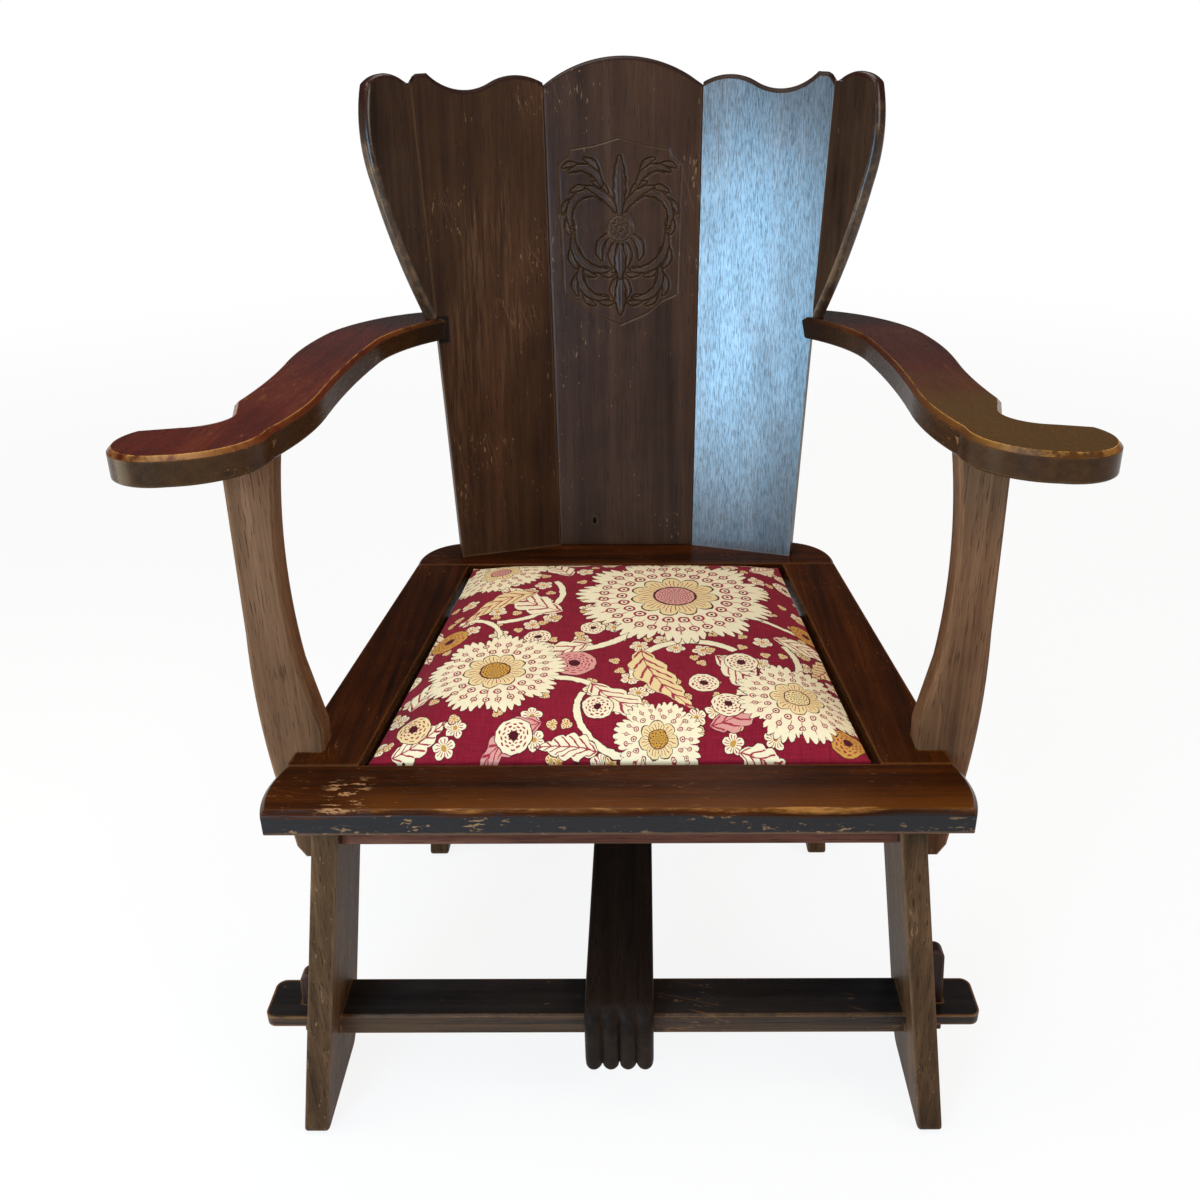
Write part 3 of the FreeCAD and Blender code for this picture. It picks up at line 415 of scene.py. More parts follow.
# arms: painted shade where they are let into the boards and over the right arm's rear, browner
# wood towards the right paddle, and an upper arris that is rubbed to bare wood in places
armWear = {
    "brown": ("4b3713", 0.8), "brownFrom": (0.20, 0.34), "right": (0.1, 0.2),
    "gold": ("c9914a", 0.9), "goldRise": (0.70, 0.78), "goldEnd": (0.975, 0.998),
    # the two dark dyes after the gold are painted shade: over the right arm's rear top, and in the gap
    # round the arms' ends
    "goldCut": (0.38, 0.52), "shade": ("240b04", 0.55), "paintedShadeFrom": (-0.14, 0.04),
    "grimeAndShade": ("150e0a", 0.75), "gapShadeFrom": (0.150, 0.235),
}


def armEndColour(shop, body, grain, colour):
    wear = armWear
    across, back, _ = shop.parts(body)
    up = shop.parts(trueNormal(shop))[2]
    right = shop.step(across, *wear["right"])
    brown = shop.step(shop.noise(body, 5, 2, 0.5) * 0.4 - back, *wear["brownFrom"]) * right
    rub = shop.noise(body, 60, 4, 0.7) * 0.6 + shop.noise(body, 9, 1, 0.5) * 0.4
    line = shop.step(up, *wear["goldRise"]) * (1 - shop.step(up, *wear["goldEnd"]))
    masks = {
        "brown": brown * shop.step(up, 0.5, 0.9),
        "gold": line * shop.step(rub, *wear["goldCut"]),
        # painted shade over the right arm's rear top
        "shade": shop.step(back, *wear["paintedShadeFrom"]) * right,
        # painted shade in the gap round the arm's end, where it is let into the board
        "grimeAndShade": shop.step(back, *wear["gapShadeFrom"]),
    }
    for name, mask in masks.items():
        dye, share = wear[name]
        colour = shop.mix(mask * share, colour, tint(dye))
    return colour


# side boards: painted shade round the arms' ends, and on the left one a field with thinner stain
boardWear = {
    # the first dye is painted shade round the arms' ends in the notches
    "inside": 0.2175, "level": 0.6732, "half": 0.0128, "gap": 0.0018, "grimeAndShade": ("0c0807", 0.92),
    "field": ("6d4c33", 0.32), "foot": (0.46, 0.60), "top": (0.78, 0.88), "left": (-0.235, -0.205),
    "right": (-0.150, -0.095), "streak": (14.0, 260.0, 260.0), "patch": (7.0, 26.0, 26.0),
}


def notchColour(shop, body, grain, colour):
    across, _, rise = shop.parts(body)
    inside, level, half, gap = (boardWear[k] for k in ("inside", "level", "half", "gap"))
    # painted shade in the notch round the arm's end
    beside = shop.step(abs(across), inside - 2.2 * gap, inside - gap)
    beside = beside * (1 - shop.step(abs(rise - level), half + gap, half + 2.2 * gap))
    dye, share = boardWear["grimeAndShade"]
    return shop.mix(beside * share, colour, tint(dye))


def leftBoardColour(shop, body, grain, colour):
    wear = boardWear
    across, _, rise = shop.parts(body)
    field = shop.step(rise, *wear["foot"]) * (1 - shop.step(rise, *wear["top"]))
    field = field * shop.step(across, *wear["left"]) * (1 - shop.step(across, *wear["right"]))
    streak = shop.step(shop.noise(grain * wear["streak"], 1, 4, 0.7), 0.42, 0.62)
    patch = shop.step(shop.noise(grain * wear["patch"], 1, 2, 0.5), 0.36, 0.60)
    dye, share = wear["field"]
    return notchColour(shop, body, grain, shop.mix(field * streak * patch * share, colour, tint(dye)))


# wings: the nose is rubbed bare in patches, most of all low down
wingWear = {"nose": (0.64, 0.78), "low": (0.74, 0.92), "cut": (0.50, 0.68), "bare": ("75583a", 0.5)}


def wingColour(shop, body, grain, colour):
    nose = shop.step(-1 * shop.parts(trueNormal(shop))[1], *wingWear["nose"])
    low = 1 - shop.step(shop.parts(body)[2], *wingWear["low"])
    rub = shop.noise(body, 70, 4, 0.7) * 0.6 + shop.noise(body, 16, 2, 0.5) * 0.4
    dye, share = wingWear["bare"]
    return shop.mix(nose * shop.step(rub + low * 0.08, *wingWear["cut"]) * share, colour, tint(dye))


# Joinery: each board is its node's own shape, with its arrises rounded.

grainOf = {
    "across": ("front_rail", "back_rail", "cleat_front", "cleat_back", "front_strip",
               "front_stretcher", "back_stretcher", "batten_lower", "batten_upper"),
    "backwards": ("side_rail_left", "side_rail_right", "cleat_left", "cleat_right", "arm_left",
                  "arm_right"),
}
boardLean = math.radians(11.5)

boards = {
    "oakLeft": ("back_board_left",),
    "oakRight": ("back_board_right",),
    "oakCentre": ("back_board_centre",),
    "oakWing": ("wing_left", "wing_right"),
    "oakRail": ("side_rail_left", "side_rail_right", "back_rail"),
    "oakFront": ("front_rail",),
    "oakArm": ("arm_left", "arm_right"),
    "oakPost": ("arm_post_left", "arm_post_right"),
    "oakStrip": ("front_strip",),
    "oakLeg": ("front_leg_left", "front_leg_right", "back_leg_left", "back_leg_right"),
    "oakStretcher": ("front_stretcher", "back_stretcher"),
    "oakKey": ("front_key_left", "front_key_right", "back_key_left", "back_key_right"),
    "oakHand": ("hand_rail",),
    "oakHidden": ("cleat_left", "cleat_right", "cleat_front", "cleat_back", "batten_lower",
                  "batten_upper"),
}

# width of the rounded arrises, and the least turn in degrees that makes one: the first name that fits
roundings = {
    "leg": (0.003, 20.0),
    "arm_post": (0.0016, 20.0),
    "arm_": (0.0018, 32.0),
    "": (0.0016, 20.0),
}

# wider rounds, cut before those: the side boards' top arris, and the wings' nose at its two chamfers
wideRounds = {
    "back_board": {"width": 0.0034, "turn": (30, 60), "front": -0.7, "up": 0.4},
    "wing": {"width": 0.0027, "turn": (25, 65), "rear": 0.6, "area": 0.0003},
}


def roundWide(made, node):
    kind = next((k for k in wideRounds if node.startswith(k)), None)
    if kind is None:
        return
    wide = wideRounds[kind]
    least, most = (math.radians(a) for a in wide["turn"])

    def wanted(edge):
        if len(edge.link_faces) != 2 or not least < edge.calc_face_angle(0) < most:
            return False
        normals = [face.normal for face in edge.link_faces]
        if "front" in wide:
            return min(n.y for n in normals) < wide["front"] and max(n.z for n in normals) > wide["up"]
        small = min(face.calc_area() for face in edge.link_faces) < wide["area"]
        return small and all(n.y < wide["rear"] for n in normals)

    chosen = [edge for edge in made.edges if wanted(edge)]
    bmesh.ops.bevel(
        made, geom=chosen, offset=wide["width"], offset_type="OFFSET", segments=5, profile=0.5,
        affect="EDGES", clamp_overlap=False,
    )
    print(node, "has", len(chosen), "edges in its wide round")


def grainAxes(node):
    if node in grainOf["across"]:
        return Vector((1, 0, 0))
    if node in grainOf["backwards"]:
        return Vector((0, 1, 0))
    if node.startswith(("back_board", "wing")):
        return Vector((0, math.sin(boardLean), math.cos(boardLean)))
    return Vector((0, 0, 1))


def newPiece(name, mesh):
    piece = bpy.data.objects.new(name, mesh)
    scene.collection.objects.link(piece)
    return piece


def applied(piece):
    graph = bpy.context.evaluated_depsgraph_get()
    mesh = bpy.data.meshes.new_from_object(piece.evaluated_get(graph))
    piece.modifiers.clear()
    piece.data = mesh
    return mesh


def finished(made, name, sharp):
    # a bmesh becomes a piece, smooth but for edges over so many degrees
    bmesh.ops.recalc_face_normals(made, faces=made.faces)
    mesh = bpy.data.meshes.new(name)
    made.to_mesh(mesh)
    made.free()
    mesh.shade_smooth()
    mesh.set_sharp_from_angle(angle=math.radians(sharp))
    return newPiece(name, mesh)


def layGrain(mesh, along, number):
    across = along.orthogonal().normalized()
    deep = along.cross(across)
    points = np.zeros(len(mesh.vertices) * 3, np.float32)
    mesh.vertices.foreach_get("co", points)
    points = points.reshape(-1, 3)
    axes = np.array([along, across, deep], np.float32)
    # each piece is cut from another place in the tree
    shift = np.array([0.37 * number % 5, 0.113 * number % 3, 0.071 * number % 2], np.float32)
    grain = points @ axes.T + shift
    layer = mesh.attributes.new("grain", "FLOAT_VECTOR", "POINT")
    layer.data.foreach_set("vector", grain.astype(np.float32).ravel())


def rounded(node, number):
    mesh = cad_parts[node].data.copy()
    made = bmesh.new()
    made.from_mesh(mesh)
    bmesh.ops.remove_doubles(made, verts=made.verts, dist=2e-5)
    bmesh.ops.dissolve_limit(made, angle_limit=math.radians(0.4), verts=made.verts, edges=made.edges)
    bmesh.ops.recalc_face_normals(made, faces=made.faces)
    roundWide(made, node)
    made.to_mesh(mesh)
    made.free()
    mesh.materials.clear()
    name = "".join(part.capitalize() for part in node.split("_"))
    piece = newPiece(name, mesh)
    kind = next(k for k in roundings if k in node)
    bevel = piece.modifiers.new("Round", "BEVEL")
    bevel.width = roundings[kind][0]
    bevel.segments = 3
    bevel.limit_method = "ANGLE"
    bevel.angle_limit = math.radians(roundings[kind][1])
    bevel.use_clamp_overlap = kind != "leg"
    mesh.shade_smooth()
    weigh = piece.modifiers.new("Weigh", "WEIGHTED_NORMAL")
    weigh.keep_sharp = True
    mesh = applied(piece)
    layGrain(mesh, grainAxes(node), number)
    return piece


# Centre board: dense front face, with the carving and the small slot sunk into it. In millimetres.

carving = {
    "middle": (-5.0, 393.4), "pitch": 0.7, "half": (80.0, 117.0), "line": 0.9, "lineDepth": 1.3,
    "slot": (-41.0, 33.5), "slotHalf": (2.2, 4.6), "slotDepth": 7.0, "edge": 2.6, "crest": 2.7,
    "boardHalf": 90.0, "hollow": ("160d08", 0.38),
    "border": ((0, 110), (-33, 101), (-60, 97), (-63, 88), (-75, 79), (-70, -73), (-52, -81),
               (-33, -96), (0, -110)),
}

leafCut = {"rim": 1.7, "rimWide": 0.9, "floor": 1.2, "pillow": 1.4, "vein": 0.9, "veinWide": 0.8}

rosette = {
    "up": 5, "petal": 11.5, "petals": 8, "reach": 17, "rim": 1.4, "rimWide": 0.9, "split": 0.5,
    "eye": 4, "eyeCut": 1.4, "eyeWide": 0.8, "ring": 15.5, "ringCut": 1.2,
}

# right half of the ornament, top layer first:
# foot, heading, length, half width, curl in degrees, pairs of side leaves
carvedScrolls = (
    (0, 22, 90, 66, 8.0, 0, 0), (4, 24, 66, 50, 5.4, -55, 0), (8, 26, 78, 98, 5.6, -205, 4),
    (22, 54, 84, 52, 5.2, -120, 2), (57, -1, -78, 74, 5.6, -118, 3), (46, -36, -58, 66, 5.2, -138, 3),
    (0, -13, -90, 40, 7.6, 0, 0), (5, -11, -56, 32, 5.2, -66, 0), (12, -2, -20, 36, 5.2, -100, 0),
    (0, -52, -90, 44, 7.4, 0, 0), (4, -54, -54, 24, 4.6, -50, 0),
)


def leafPath(foot, heading, length, curl, steps=26):
    turn = np.radians(heading + curl * (np.arange(steps) + 0.5) / steps)
    pace = length / steps
    across = foot[0] + np.concatenate([[0], np.cumsum(np.cos(turn) * pace)])
    up = foot[1] + np.concatenate([[0], np.cumsum(np.sin(turn) * pace)])
    return across, up


def carvedLeaves():
    main, side = [], []
    for x, y, heading, length, half, curl, pairs in carvedScrolls:
        main.append(((x, y), heading, length, half, curl))
        across, up = leafPath((x, y), heading, length, curl)
        for k in range(pairs):
            share = (k + 0.7) / (pairs + 0.3)
            spot = int(share * (len(across) - 1))
            turn = heading + curl * share
            small = 1 - 0.35 * share
            side.append(((across[spot], up[spot]), turn + 46, 31 * small, 4.8 * small, -85))
            side.append(((across[spot], up[spot]), turn - 42, 21 * small, 3.8 * small, 75))
    return main + side


def leafDepth(x, y, foot, heading, length, half, curl):
    px, py = leafPath(foot, heading, length, curl)
    far = np.full(x.shape, 1e9)
    share = np.zeros(x.shape)
    for k in range(len(px)):
        gap = np.hypot(x - px[k], y - py[k])
        closer = gap < far
        far = np.where(closer, gap, far)
        share = np.where(closer, k / (len(px) - 1), share)
    ripple = 1 + 0.08 * np.sin(share * length * 0.5)
    wide = half * np.sin(np.pi * (share * 0.88 + 0.06)) ** 0.7 * ripple
    rim = np.exp(-((far - wide) / leafCut["rimWide"]) ** 2)
    pillow = np.clip(1 - (far / np.maximum(wide, 0.1)) ** 2, 0, 1)
    vein = np.exp(-(far / leafCut["veinWide"]) ** 2) * (share < 0.92)
    inside = far < wide
    sunk = leafCut["floor"] - leafCut["pillow"] * pillow
    return -leafCut["rim"] * rim - inside * sunk - leafCut["vein"] * vein * inside, inside


def rosetteDepth(u, v):
    # petals in a ring, with a sunk eye and a sunk ring round them
    far, angle = np.hypot(u, v - rosette["up"]), np.arctan2(v - rosette["up"], u)
    lobe = np.sin(angle * rosette["petals"] / 2)
    petal = rosette["petal"] * (0.72 + 0.28 * np.abs(lobe))
    depth = -rosette["rim"] * np.exp(-((far - petal) / rosette["rimWide"]) ** 2)
    depth = depth - rosette["split"] * np.exp(-(lobe / 0.2) ** 2)
    depth = depth - rosette["eyeCut"] * np.exp(-((far - rosette["eye"]) / rosette["eyeWide"]) ** 2)
    depth = depth - rosette["ringCut"] * np.exp(-((far - rosette["ring"]) / rosette["rimWide"]) ** 2)
    return depth, far < rosette["reach"]


def borderGap(u, v):
    # distance from the cut line round the ornament
    points = list(carving["border"]) + [(-a, b) for a, b in carving["border"][-2:0:-1]]
    line = np.full(u.shape, 1e9)
    for (ax, ay), (bx, by) in zip(points, points[1:] + points[:1]):
        dx, dy = bx - ax, by - ay
        share = np.clip(((u - ax) * dx + (v - ay) * dy) / (dx * dx + dy * dy), 0, 1)
        line = np.minimum(line, np.hypot(u - ax - share * dx, v - ay - share * dy))
    return line


def carvedDepth(x, y):
    u, v = x - carving["middle"][0], y - carving["middle"][1]
    depth = np.zeros(x.shape)
    covered = np.zeros(x.shape, bool)
    near = (np.abs(u) < carving["half"][0]) & (np.abs(v) < carving["half"][1])
    side = np.abs(u)
    for leaf in carvedLeaves():
        sunk, inside = leafDepth(side, v, *leaf)
        depth = np.where(covered, depth, np.minimum(depth, sunk))
        depth = np.where(inside & ~covered, sunk, depth)
        covered |= inside
    flower, within = rosetteDepth(u, v)
    depth = np.where(within, flower, depth)
    line = np.exp(-(borderGap(u, v) / carving["line"]) ** 2)
    depth = np.minimum(depth, -carving["lineDepth"] * line)
    depth = np.where(near, depth, 0)
    slot = ((x - carving["slot"][0]) / carving["slotHalf"][0]) ** 2
    slot = slot + ((y - carving["slot"][1]) / carving["slotHalf"][1]) ** 2
    return np.where(slot < 1, -carving["slotDepth"], depth)


def frontGrid(footHalf, topHalf, crown, corner):
    # points across and along the front face, and how far each lies from its rim
    edge, crest = carving["edge"], carving["crest"]
    radius = (topHalf ** 2 + (crown - corner) ** 2) / (2 * (crown - corner))
    rim = [0.0, 0.12 * edge, 0.35 * edge, 0.65 * edge, edge]
    pitch = carving["pitch"]
    reach, tall = carving["half"]
    aside, middle = carving["middle"]
    columns = np.arange(aside - reach, aside + reach, pitch) / carving["boardHalf"]
    sides = [1 - r / carving["boardHalf"] for r in rim]
    columns = np.array(sorted([-s for s in sides] + list(columns) + sides))
    slot = carving["slot"][1]
    rows = rim + list(np.arange(8, slot - 7, 6)) + list(np.arange(slot - 6.5, slot + 6.5, 0.8))
    rows += list(np.arange(slot + 10, middle - tall - 3, 9))
    rows += list(np.arange(middle - tall, middle + tall, pitch))
    top = rows[-1]
    # rows over the carving follow the curved top
    above = [0.1, 0.25, 0.4, 0.55, 0.7, 0.85, 0.93]
    count = len(rows)
    across, along, margins = [], [], []
    for j in range(count + len(above) + len(rim)):
        rise = rows[j] if j < count else top + (corner - top) * above[min(j - count, len(above) - 1)]
        half = footHalf + (topHalf - footHalf) * min(rise / corner, 1)
        half = topHalf if j >= count + len(above) else half
        x = columns * half
        height = crown - radius + np.sqrt(radius ** 2 - np.clip(x, -topHalf, topHalf) ** 2)
        if j < count:
            y = np.full(x.shape, rows[j])
        elif j < count + len(above):
            y = top + (height - edge * crest - top) * above[j - count]
        else:
            y = height - rim[len(rim) - 1 - (j - count - len(above))] * crest
        across.append(x)
        along.append(y)
        margins.append(np.minimum(np.minimum(half - np.abs(x), y), (height - y) / crest))
    return np.array(across), np.array(along), np.array(margins)


def carvedBoard(number):
    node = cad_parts["back_board_centre"]
    points = np.array([v.co for v in node.data.vertices]) * 1000
    up = np.array([0, math.sin(boardLean), math.cos(boardLean)])
    back = np.array([0, math.cos(boardLean), -math.sin(boardLean)])
    low = points[:, 2].min()
    foot = points[(points[:, 2] < low + 4)]
    base = np.array([0, foot[:, 1].min(), low])
    thick = ((points - base) @ back).max()
    footHalf, topHalf = np.abs(foot[:, 0]).max(), np.abs(points[:, 0]).max()
    lengths = (points - base) @ up
    crown = lengths.max()
    corner = lengths[(np.abs(points[:, 0]) > topHalf - 3)].max()
    across, along, margins = frontGrid(footHalf, topHalf, crown, corner)
    edge = carving["edge"]
    fold = np.clip(edge - margins, 0, edge)
    sink = edge - np.sqrt(np.maximum(edge ** 2 - fold ** 2, 0)) - carvedDepth(across, along)
    places = base + along[..., None] * up + sink[..., None] * back
    places[..., 0] = across
    made = bmesh.new()
    lines = [[made.verts.new(place / 1000) for place in line] for line in places]
    for a, b in zip(lines, lines[1:]):
        for k in range(len(a) - 1):
            made.faces.new((a[k], a[k + 1], b[k + 1], b[k]))
    border = list(lines[0]) + [line[-1] for line in lines[1:]] + list(reversed(lines[-1][:-1]))
    border += [line[0] for line in reversed(lines[1:-1])]
    outline = [Vector(v.co) for v in border]
    last = border
    shift = Vector(back / 1000)
    # the sides, and a small chamfer round the rear face
    for depth, inset in ((thick - 1.5 - edge, 0), (thick - 0.4 - edge, 0.4), (thick - edge, 1.5)):
        ring = []
        for point in outline:
            place = point + shift * depth
            place.x *= 1 - inset / carving["boardHalf"]
            place.z += (0.5 - (point.z * 1000 - low) / crown) * 2 * inset / 1000
            ring.append(made.verts.new(place))
        for k in range(len(ring)):
            n = (k + 1) % len(ring)
            made.faces.new((last[n], last[k], ring[k], ring[n]))
        last = ring
    made.faces.new(last)
    piece = finished(made, "BackBoardCentre", 50)
    mesh = piece.data
    layGrain(mesh, grainAxes("back_board_centre"), number)
    points = np.array([v.co for v in mesh.vertices]) * 1000 - base
    depth = carvedDepth(points[:, 0], points @ up) * (points @ back < 12)
    layer = mesh.attributes.new("hollow", "FLOAT", "POINT")
    layer.data.foreach_set("value", np.clip(-depth / 1.4, 0, 1).astype(np.float32))
    return piece


def hollowColour(shop, body, grain, colour):
    hollow = shop.node("ShaderNodeAttribute", {"attribute_name": "hollow"}, {}, "Fac")
    dye, share = carving["hollow"]
    return shop.mix(hollow * share, colour, tint(dye))


# Hand rail: a plank whose end bends down over the stretcher and is cut into four fingers.

hand = {
    "bend": 0.014, "fingers": 4, "groove": 0.0062, "tip": 0.0085, "notch": 0.007, "edge": 0.004,
    "across": 72, "start": 0.2, "full": 0.55, "lobe": 0.45, "under": 0.35, "tailEdge": 0.003,
}


def handRail(number):
    low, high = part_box("hand_rail")
    thick = high.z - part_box("front_stretcher")[1].z
    tail, foot = high.y, low.z
    middle, half = (low.x + high.x) / 2, (high.x - low.x) / 2
    centre = high.z - thick / 2
    lineY = low.y + thick / 2
    bend, tip, edge, tailEdge = (hand[k] for k in ("bend", "tip", "edge", "tailEdge"))
    flat = tail - (lineY + bend)
    arc = bend * math.pi / 2
    drop = centre - bend - foot
    whole = flat + arc + drop

    def station(s):
        # centre of the section, and its outward direction, at length s from the tail
        if s < flat:
            return Vector((0, tail - s, centre)), Vector((0, 0, 1))
        if s < flat + arc:
            turn = (s - flat) / bend
            away = Vector((0, -math.sin(turn), math.cos(turn)))
            return Vector((0, lineY + bend, centre - bend)) + away * bend, away
        return Vector((0, lineY, centre - bend - (s - flat - arc))), Vector((0, -1, 0))

    def spot(s, u, face):
        # u runs across the rail from -1 to 1, and face is 1 above and -1 below
        lobe = abs(math.sin((u + 1) / 2 * hand["fingers"] * math.pi)) ** hand["lobe"]
        grip = min(1, max(0, (s - flat - arc * hand["start"]) / (arc * hand["full"])))
        grip = grip * grip * (3 - 2 * grip)
        ending = max(0, (s - (whole - tip)) / tip)
        length = s - hand["notch"] * (1 - lobe) * max(0, (s - flat - arc) / drop)
        place, away = station(length)
        reach = thick / 2
        if face > 0:
            reach -= hand["groove"] * (1 - lobe) * grip
        else:
            reach -= hand["groove"] * hand["under"] * (1 - lobe) * ending
        side = max(0, 1 - (1 - abs(u)) * half / edge)
        reach -= edge * (1 - math.sqrt(max(0, 1 - side * side))) * 0.9
        reach *= math.sqrt(max(0.0, 1 - ending * ending)) * 0.92 + 0.08
        start = max(0, 1 - s / tailEdge)
        reach -= tailEdge * (1 - math.sqrt(max(0, 1 - start * start)))
        point = place + away * reach * face
        point.x = middle + u * half
        return point

    shares = list(np.linspace(0, flat - 0.02, 24)) + list(np.linspace(flat - 0.016, whole - tip, 46))
    shares += [whole - tip * (1 - math.sin(k / 9 * math.pi / 2)) for k in range(1, 10)]
    even = [k / hand["across"] * 2 - 1 for k in range(hand["across"] + 1)]
    columns = [math.sin(u * math.pi / 2) * 0.25 + u * 0.75 for u in even]
    around = [(u, 1) for u in columns] + [(u, -1) for u in list(reversed(columns))[1:-1]]
    made = bmesh.new()
    rings = [[made.verts.new(spot(s, u, face)) for u, face in around] for s in shares]
    for a, b in zip(rings, rings[1:]):
        for k in range(len(a)):
            n = (k + 1) % len(a)
            made.faces.new((a[k], a[n], b[n], b[k]))
    made.faces.new(rings[0])
    made.faces.new(list(reversed(rings[-1])))
    piece = finished(made, "HandRail", 60)
    layGrain(piece.data, Vector((0, 1, 0)), number)
    return piece


wearOf = {
    "oakCentre": hollowColour, "oakArm": armEndColour, "oakLeft": leftBoardColour,
    "oakRight": notchColour, "oakWing": wingColour,
}


def dressBoards():
    finishes = {name: woodFinish(name, look, extra=wearOf.get(name)) for name, look in oakLooks.items()}
    finishes["oakFront"] = woodFinish("oakFront", oakLooks["oakRail"], extra=frontRailColour)
    carved = {"back_board_centre": carvedBoard, "hand_rail": handRail}
    number = 0
    for finish, nodes in boards.items():
        for node in nodes:
            number += 1
            piece = carved[node](number) if node in carved else rounded(node, number)
            piece.data.materials.append(finishes[finish])
            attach(piece, "frame")
            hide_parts(node)


# Pegs, nails and the seat's base are the frame's own nodes, with a finish of their own.

pegLook = {
    "colours": ("1f140d", "3c2a1c", "543c27"), "worn": "80603c", "wear": 0.4, "chips": 0.1,
    "scratches": 0.0, "gloss": 0.45, "coat": 0.2, "shine": 0.1,
}


def nailFinish():
    shop = Finish("nailSteel")
    body = shop.node("ShaderNodeTexCoord", {}, {}, "Object")
    grimeAndShade = shop.noise(body, 220, 3, 0.6)
    colour = shop.mix(shop.step(grimeAndShade, 0.4, 0.7), tint("4a4644"), tint("5b3a24"))
    shop.whole(colour, grimeAndShade * 0.3 + 0.3, grimeAndShade, 0.3, 0.0003, Metallic=0.8)
    return shop.material


def plyFinish():
    shop = Finish("seatPlywood")
    body = shop.node("ShaderNodeTexCoord", {}, {}, "Object")
    streak = shop.noise(body * (180.0, 5.0, 5.0), 1, 4, 0.6, 0.3)
    layer = shop.step(abs(shop.noise(body * (0.0, 0.0, 900.0), 1, 0) - 0.5), 0.0, 0.2)
    colour = shop.mix(shop.step(streak, 0.35, 0.7), tint("a98458"), tint("7d5c38"))
    shop.whole(colour, streak * 0.2 + 0.5, streak + layer * 0.3, 0.3, 0.0003)
    return shop.material


def dressSmallNodes():
    peg = woodFinish("pegWood", pegLook, onNode=True)
    wanted = {"cleat_nails": nailFinish(), "seat_base": plyFinish()}
    for node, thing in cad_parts.items():
        finish = peg if node.endswith("_pegs") else wanted.get(node)
        if finish:
            thing.data.materials.clear()
            thing.data.materials.append(finish)


# Drop-in seat: simulated stuffing under printed linen.

seatFill = {
    "columns": 46, "rows": 42, "sideRings": 4, "crown": 0.019, "square": 2.6, "full": 0.55,
    "inset": 0.0022, "pullIn": 0.006, "rimDrop": 0.001, "footLift": 0.0002, "stapled": 0.004,
    "pressure": 4.0, "frames": 20, "sideCap": 0.0012, "topCap": 0.012, "sinkCap": 0.002, "fill": 0.75,
}


def seatOutline():
    # front and back half widths, front and back edge, and foot of the pad's node; then the rails' top
    points = np.array([v.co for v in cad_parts["seat_pad"].data.vertices])
    low, high = points.min(0), points.max(0)
    front = np.abs(points[points[:, 1] < low[1] + 0.02][:, 0]).max()
    back = np.abs(points[points[:, 1] > high[1] - 0.02][:, 0]).max()
    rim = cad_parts["side_rail_left"].data.vertices
    return front, back, low[1], high[1], low[2], max(v.co.z for v in rim)


def seatMesh():
    front, back, near, far, foot, rim = seatOutline()
    gap, square = seatFill["inset"], seatFill["square"]
    columns, rows, rings = seatFill["columns"], seatFill["rows"], seatFill["sideRings"]
    edge, bottom = rim - seatFill["rimDrop"], foot + seatFill["footLift"]

    def spot(a, b, height):
        y = near + gap + (far - near - 2 * gap) * (b + 1) / 2
        half = front + (back - front) * (y - near) / (far - near) - gap
        # the sides pull in between the corners
        return (half * a * (1 - seatFill["pullIn"] * (1 - b ** 4) * abs(a) ** 8), y, height)

    made = bmesh.new()
    top = []
    for j in range(rows + 1):
        b = math.sin((j / rows * 2 - 1) * math.pi / 2)
        line = []
        for i in range(columns + 1):
            a = math.sin((i / columns * 2 - 1) * math.pi / 2)
            bulge = ((1 - abs(a) ** square) * (1 - abs(b) ** square)) ** seatFill["full"]
            line.append(made.verts.new(spot(a, b, edge + seatFill["crown"] * bulge)))
        top.append(line)
    for j in range(rows):
        for i in range(columns):
            made.faces.new((top[j][i], top[j][i + 1], top[j + 1][i + 1], top[j + 1][i]))
    around = [top[0][i] for i in range(columns)] + [top[j][columns] for j in range(rows)]
    around += [top[rows][i] for i in range(columns, 0, -1)] + [top[j][0] for j in range(rows, 0, -1)]
    last = around
    for ring in range(1, rings + 1):
        height = edge + (bottom - edge) * ring / rings
        line = [made.verts.new((v.co.x, v.co.y, height)) for v in around]
        for k in range(len(line)):
            n = (k + 1) % len(line)
            made.faces.new((last[n], last[k], line[k], line[n]))
        last = line
    made.faces.new(last)
    made.normal_update()
    bmesh.ops.recalc_face_normals(made, faces=made.faces)
    mesh = bpy.data.meshes.new("DropInCushion")
    made.to_mesh(mesh)
    made.free()
    return mesh, foot


def makeSeat():
    mesh, foot = seatMesh()
    seat = newPiece("DropInCushion", mesh)
    before = np.array([v.co for v in mesh.vertices])
    held = seat.vertex_groups.new(name="stapled")
    low = [v.index for v in mesh.vertices if v.co.z < foot + seatFill["stapled"]]
    held.add(low, 1.0, "REPLACE")
    cloth = seat.modifiers.new("Stuffing", "CLOTH")
    cloth.settings.vertex_group_mass = "stapled"
    cloth.settings.use_pressure = True
    cloth.settings.uniform_pressure_force = seatFill["pressure"]
    cloth.settings.effector_weights.gravity = 0
    for step in range(1, seatFill["frames"] + 1):
        scene.frame_set(step)
    applied(seat)
    seat.vertex_groups.clear()
    scene.frame_set(1)
    # the pad keeps within its opening
    move = np.array([v.co for v in seat.data.vertices]) - before
    sideways = np.linalg.norm(move[:, :2], axis=1, keepdims=True)
    move[:, :2] *= np.minimum(1, seatFill["sideCap"] / np.maximum(sideways, 1e-9))
    move[:, 2] = np.clip(move[:, 2], -seatFill["sinkCap"], seatFill["topCap"])
    print("seat swelled by", round(float(move[:, 2].max()) * 1000, 1), "mm")
    seat.data.vertices.foreach_set("co", (before + move).astype(np.float32).ravel())
    ease = seat.modifiers.new("Ease", "SMOOTH")
    ease.factor, ease.iterations = 0.5, 4
    fine = seat.modifiers.new("Fine", "SUBSURF")
    fine.levels = fine.render_levels = 1
    applied(seat)
    seat.data.shade_smooth()
    return seat


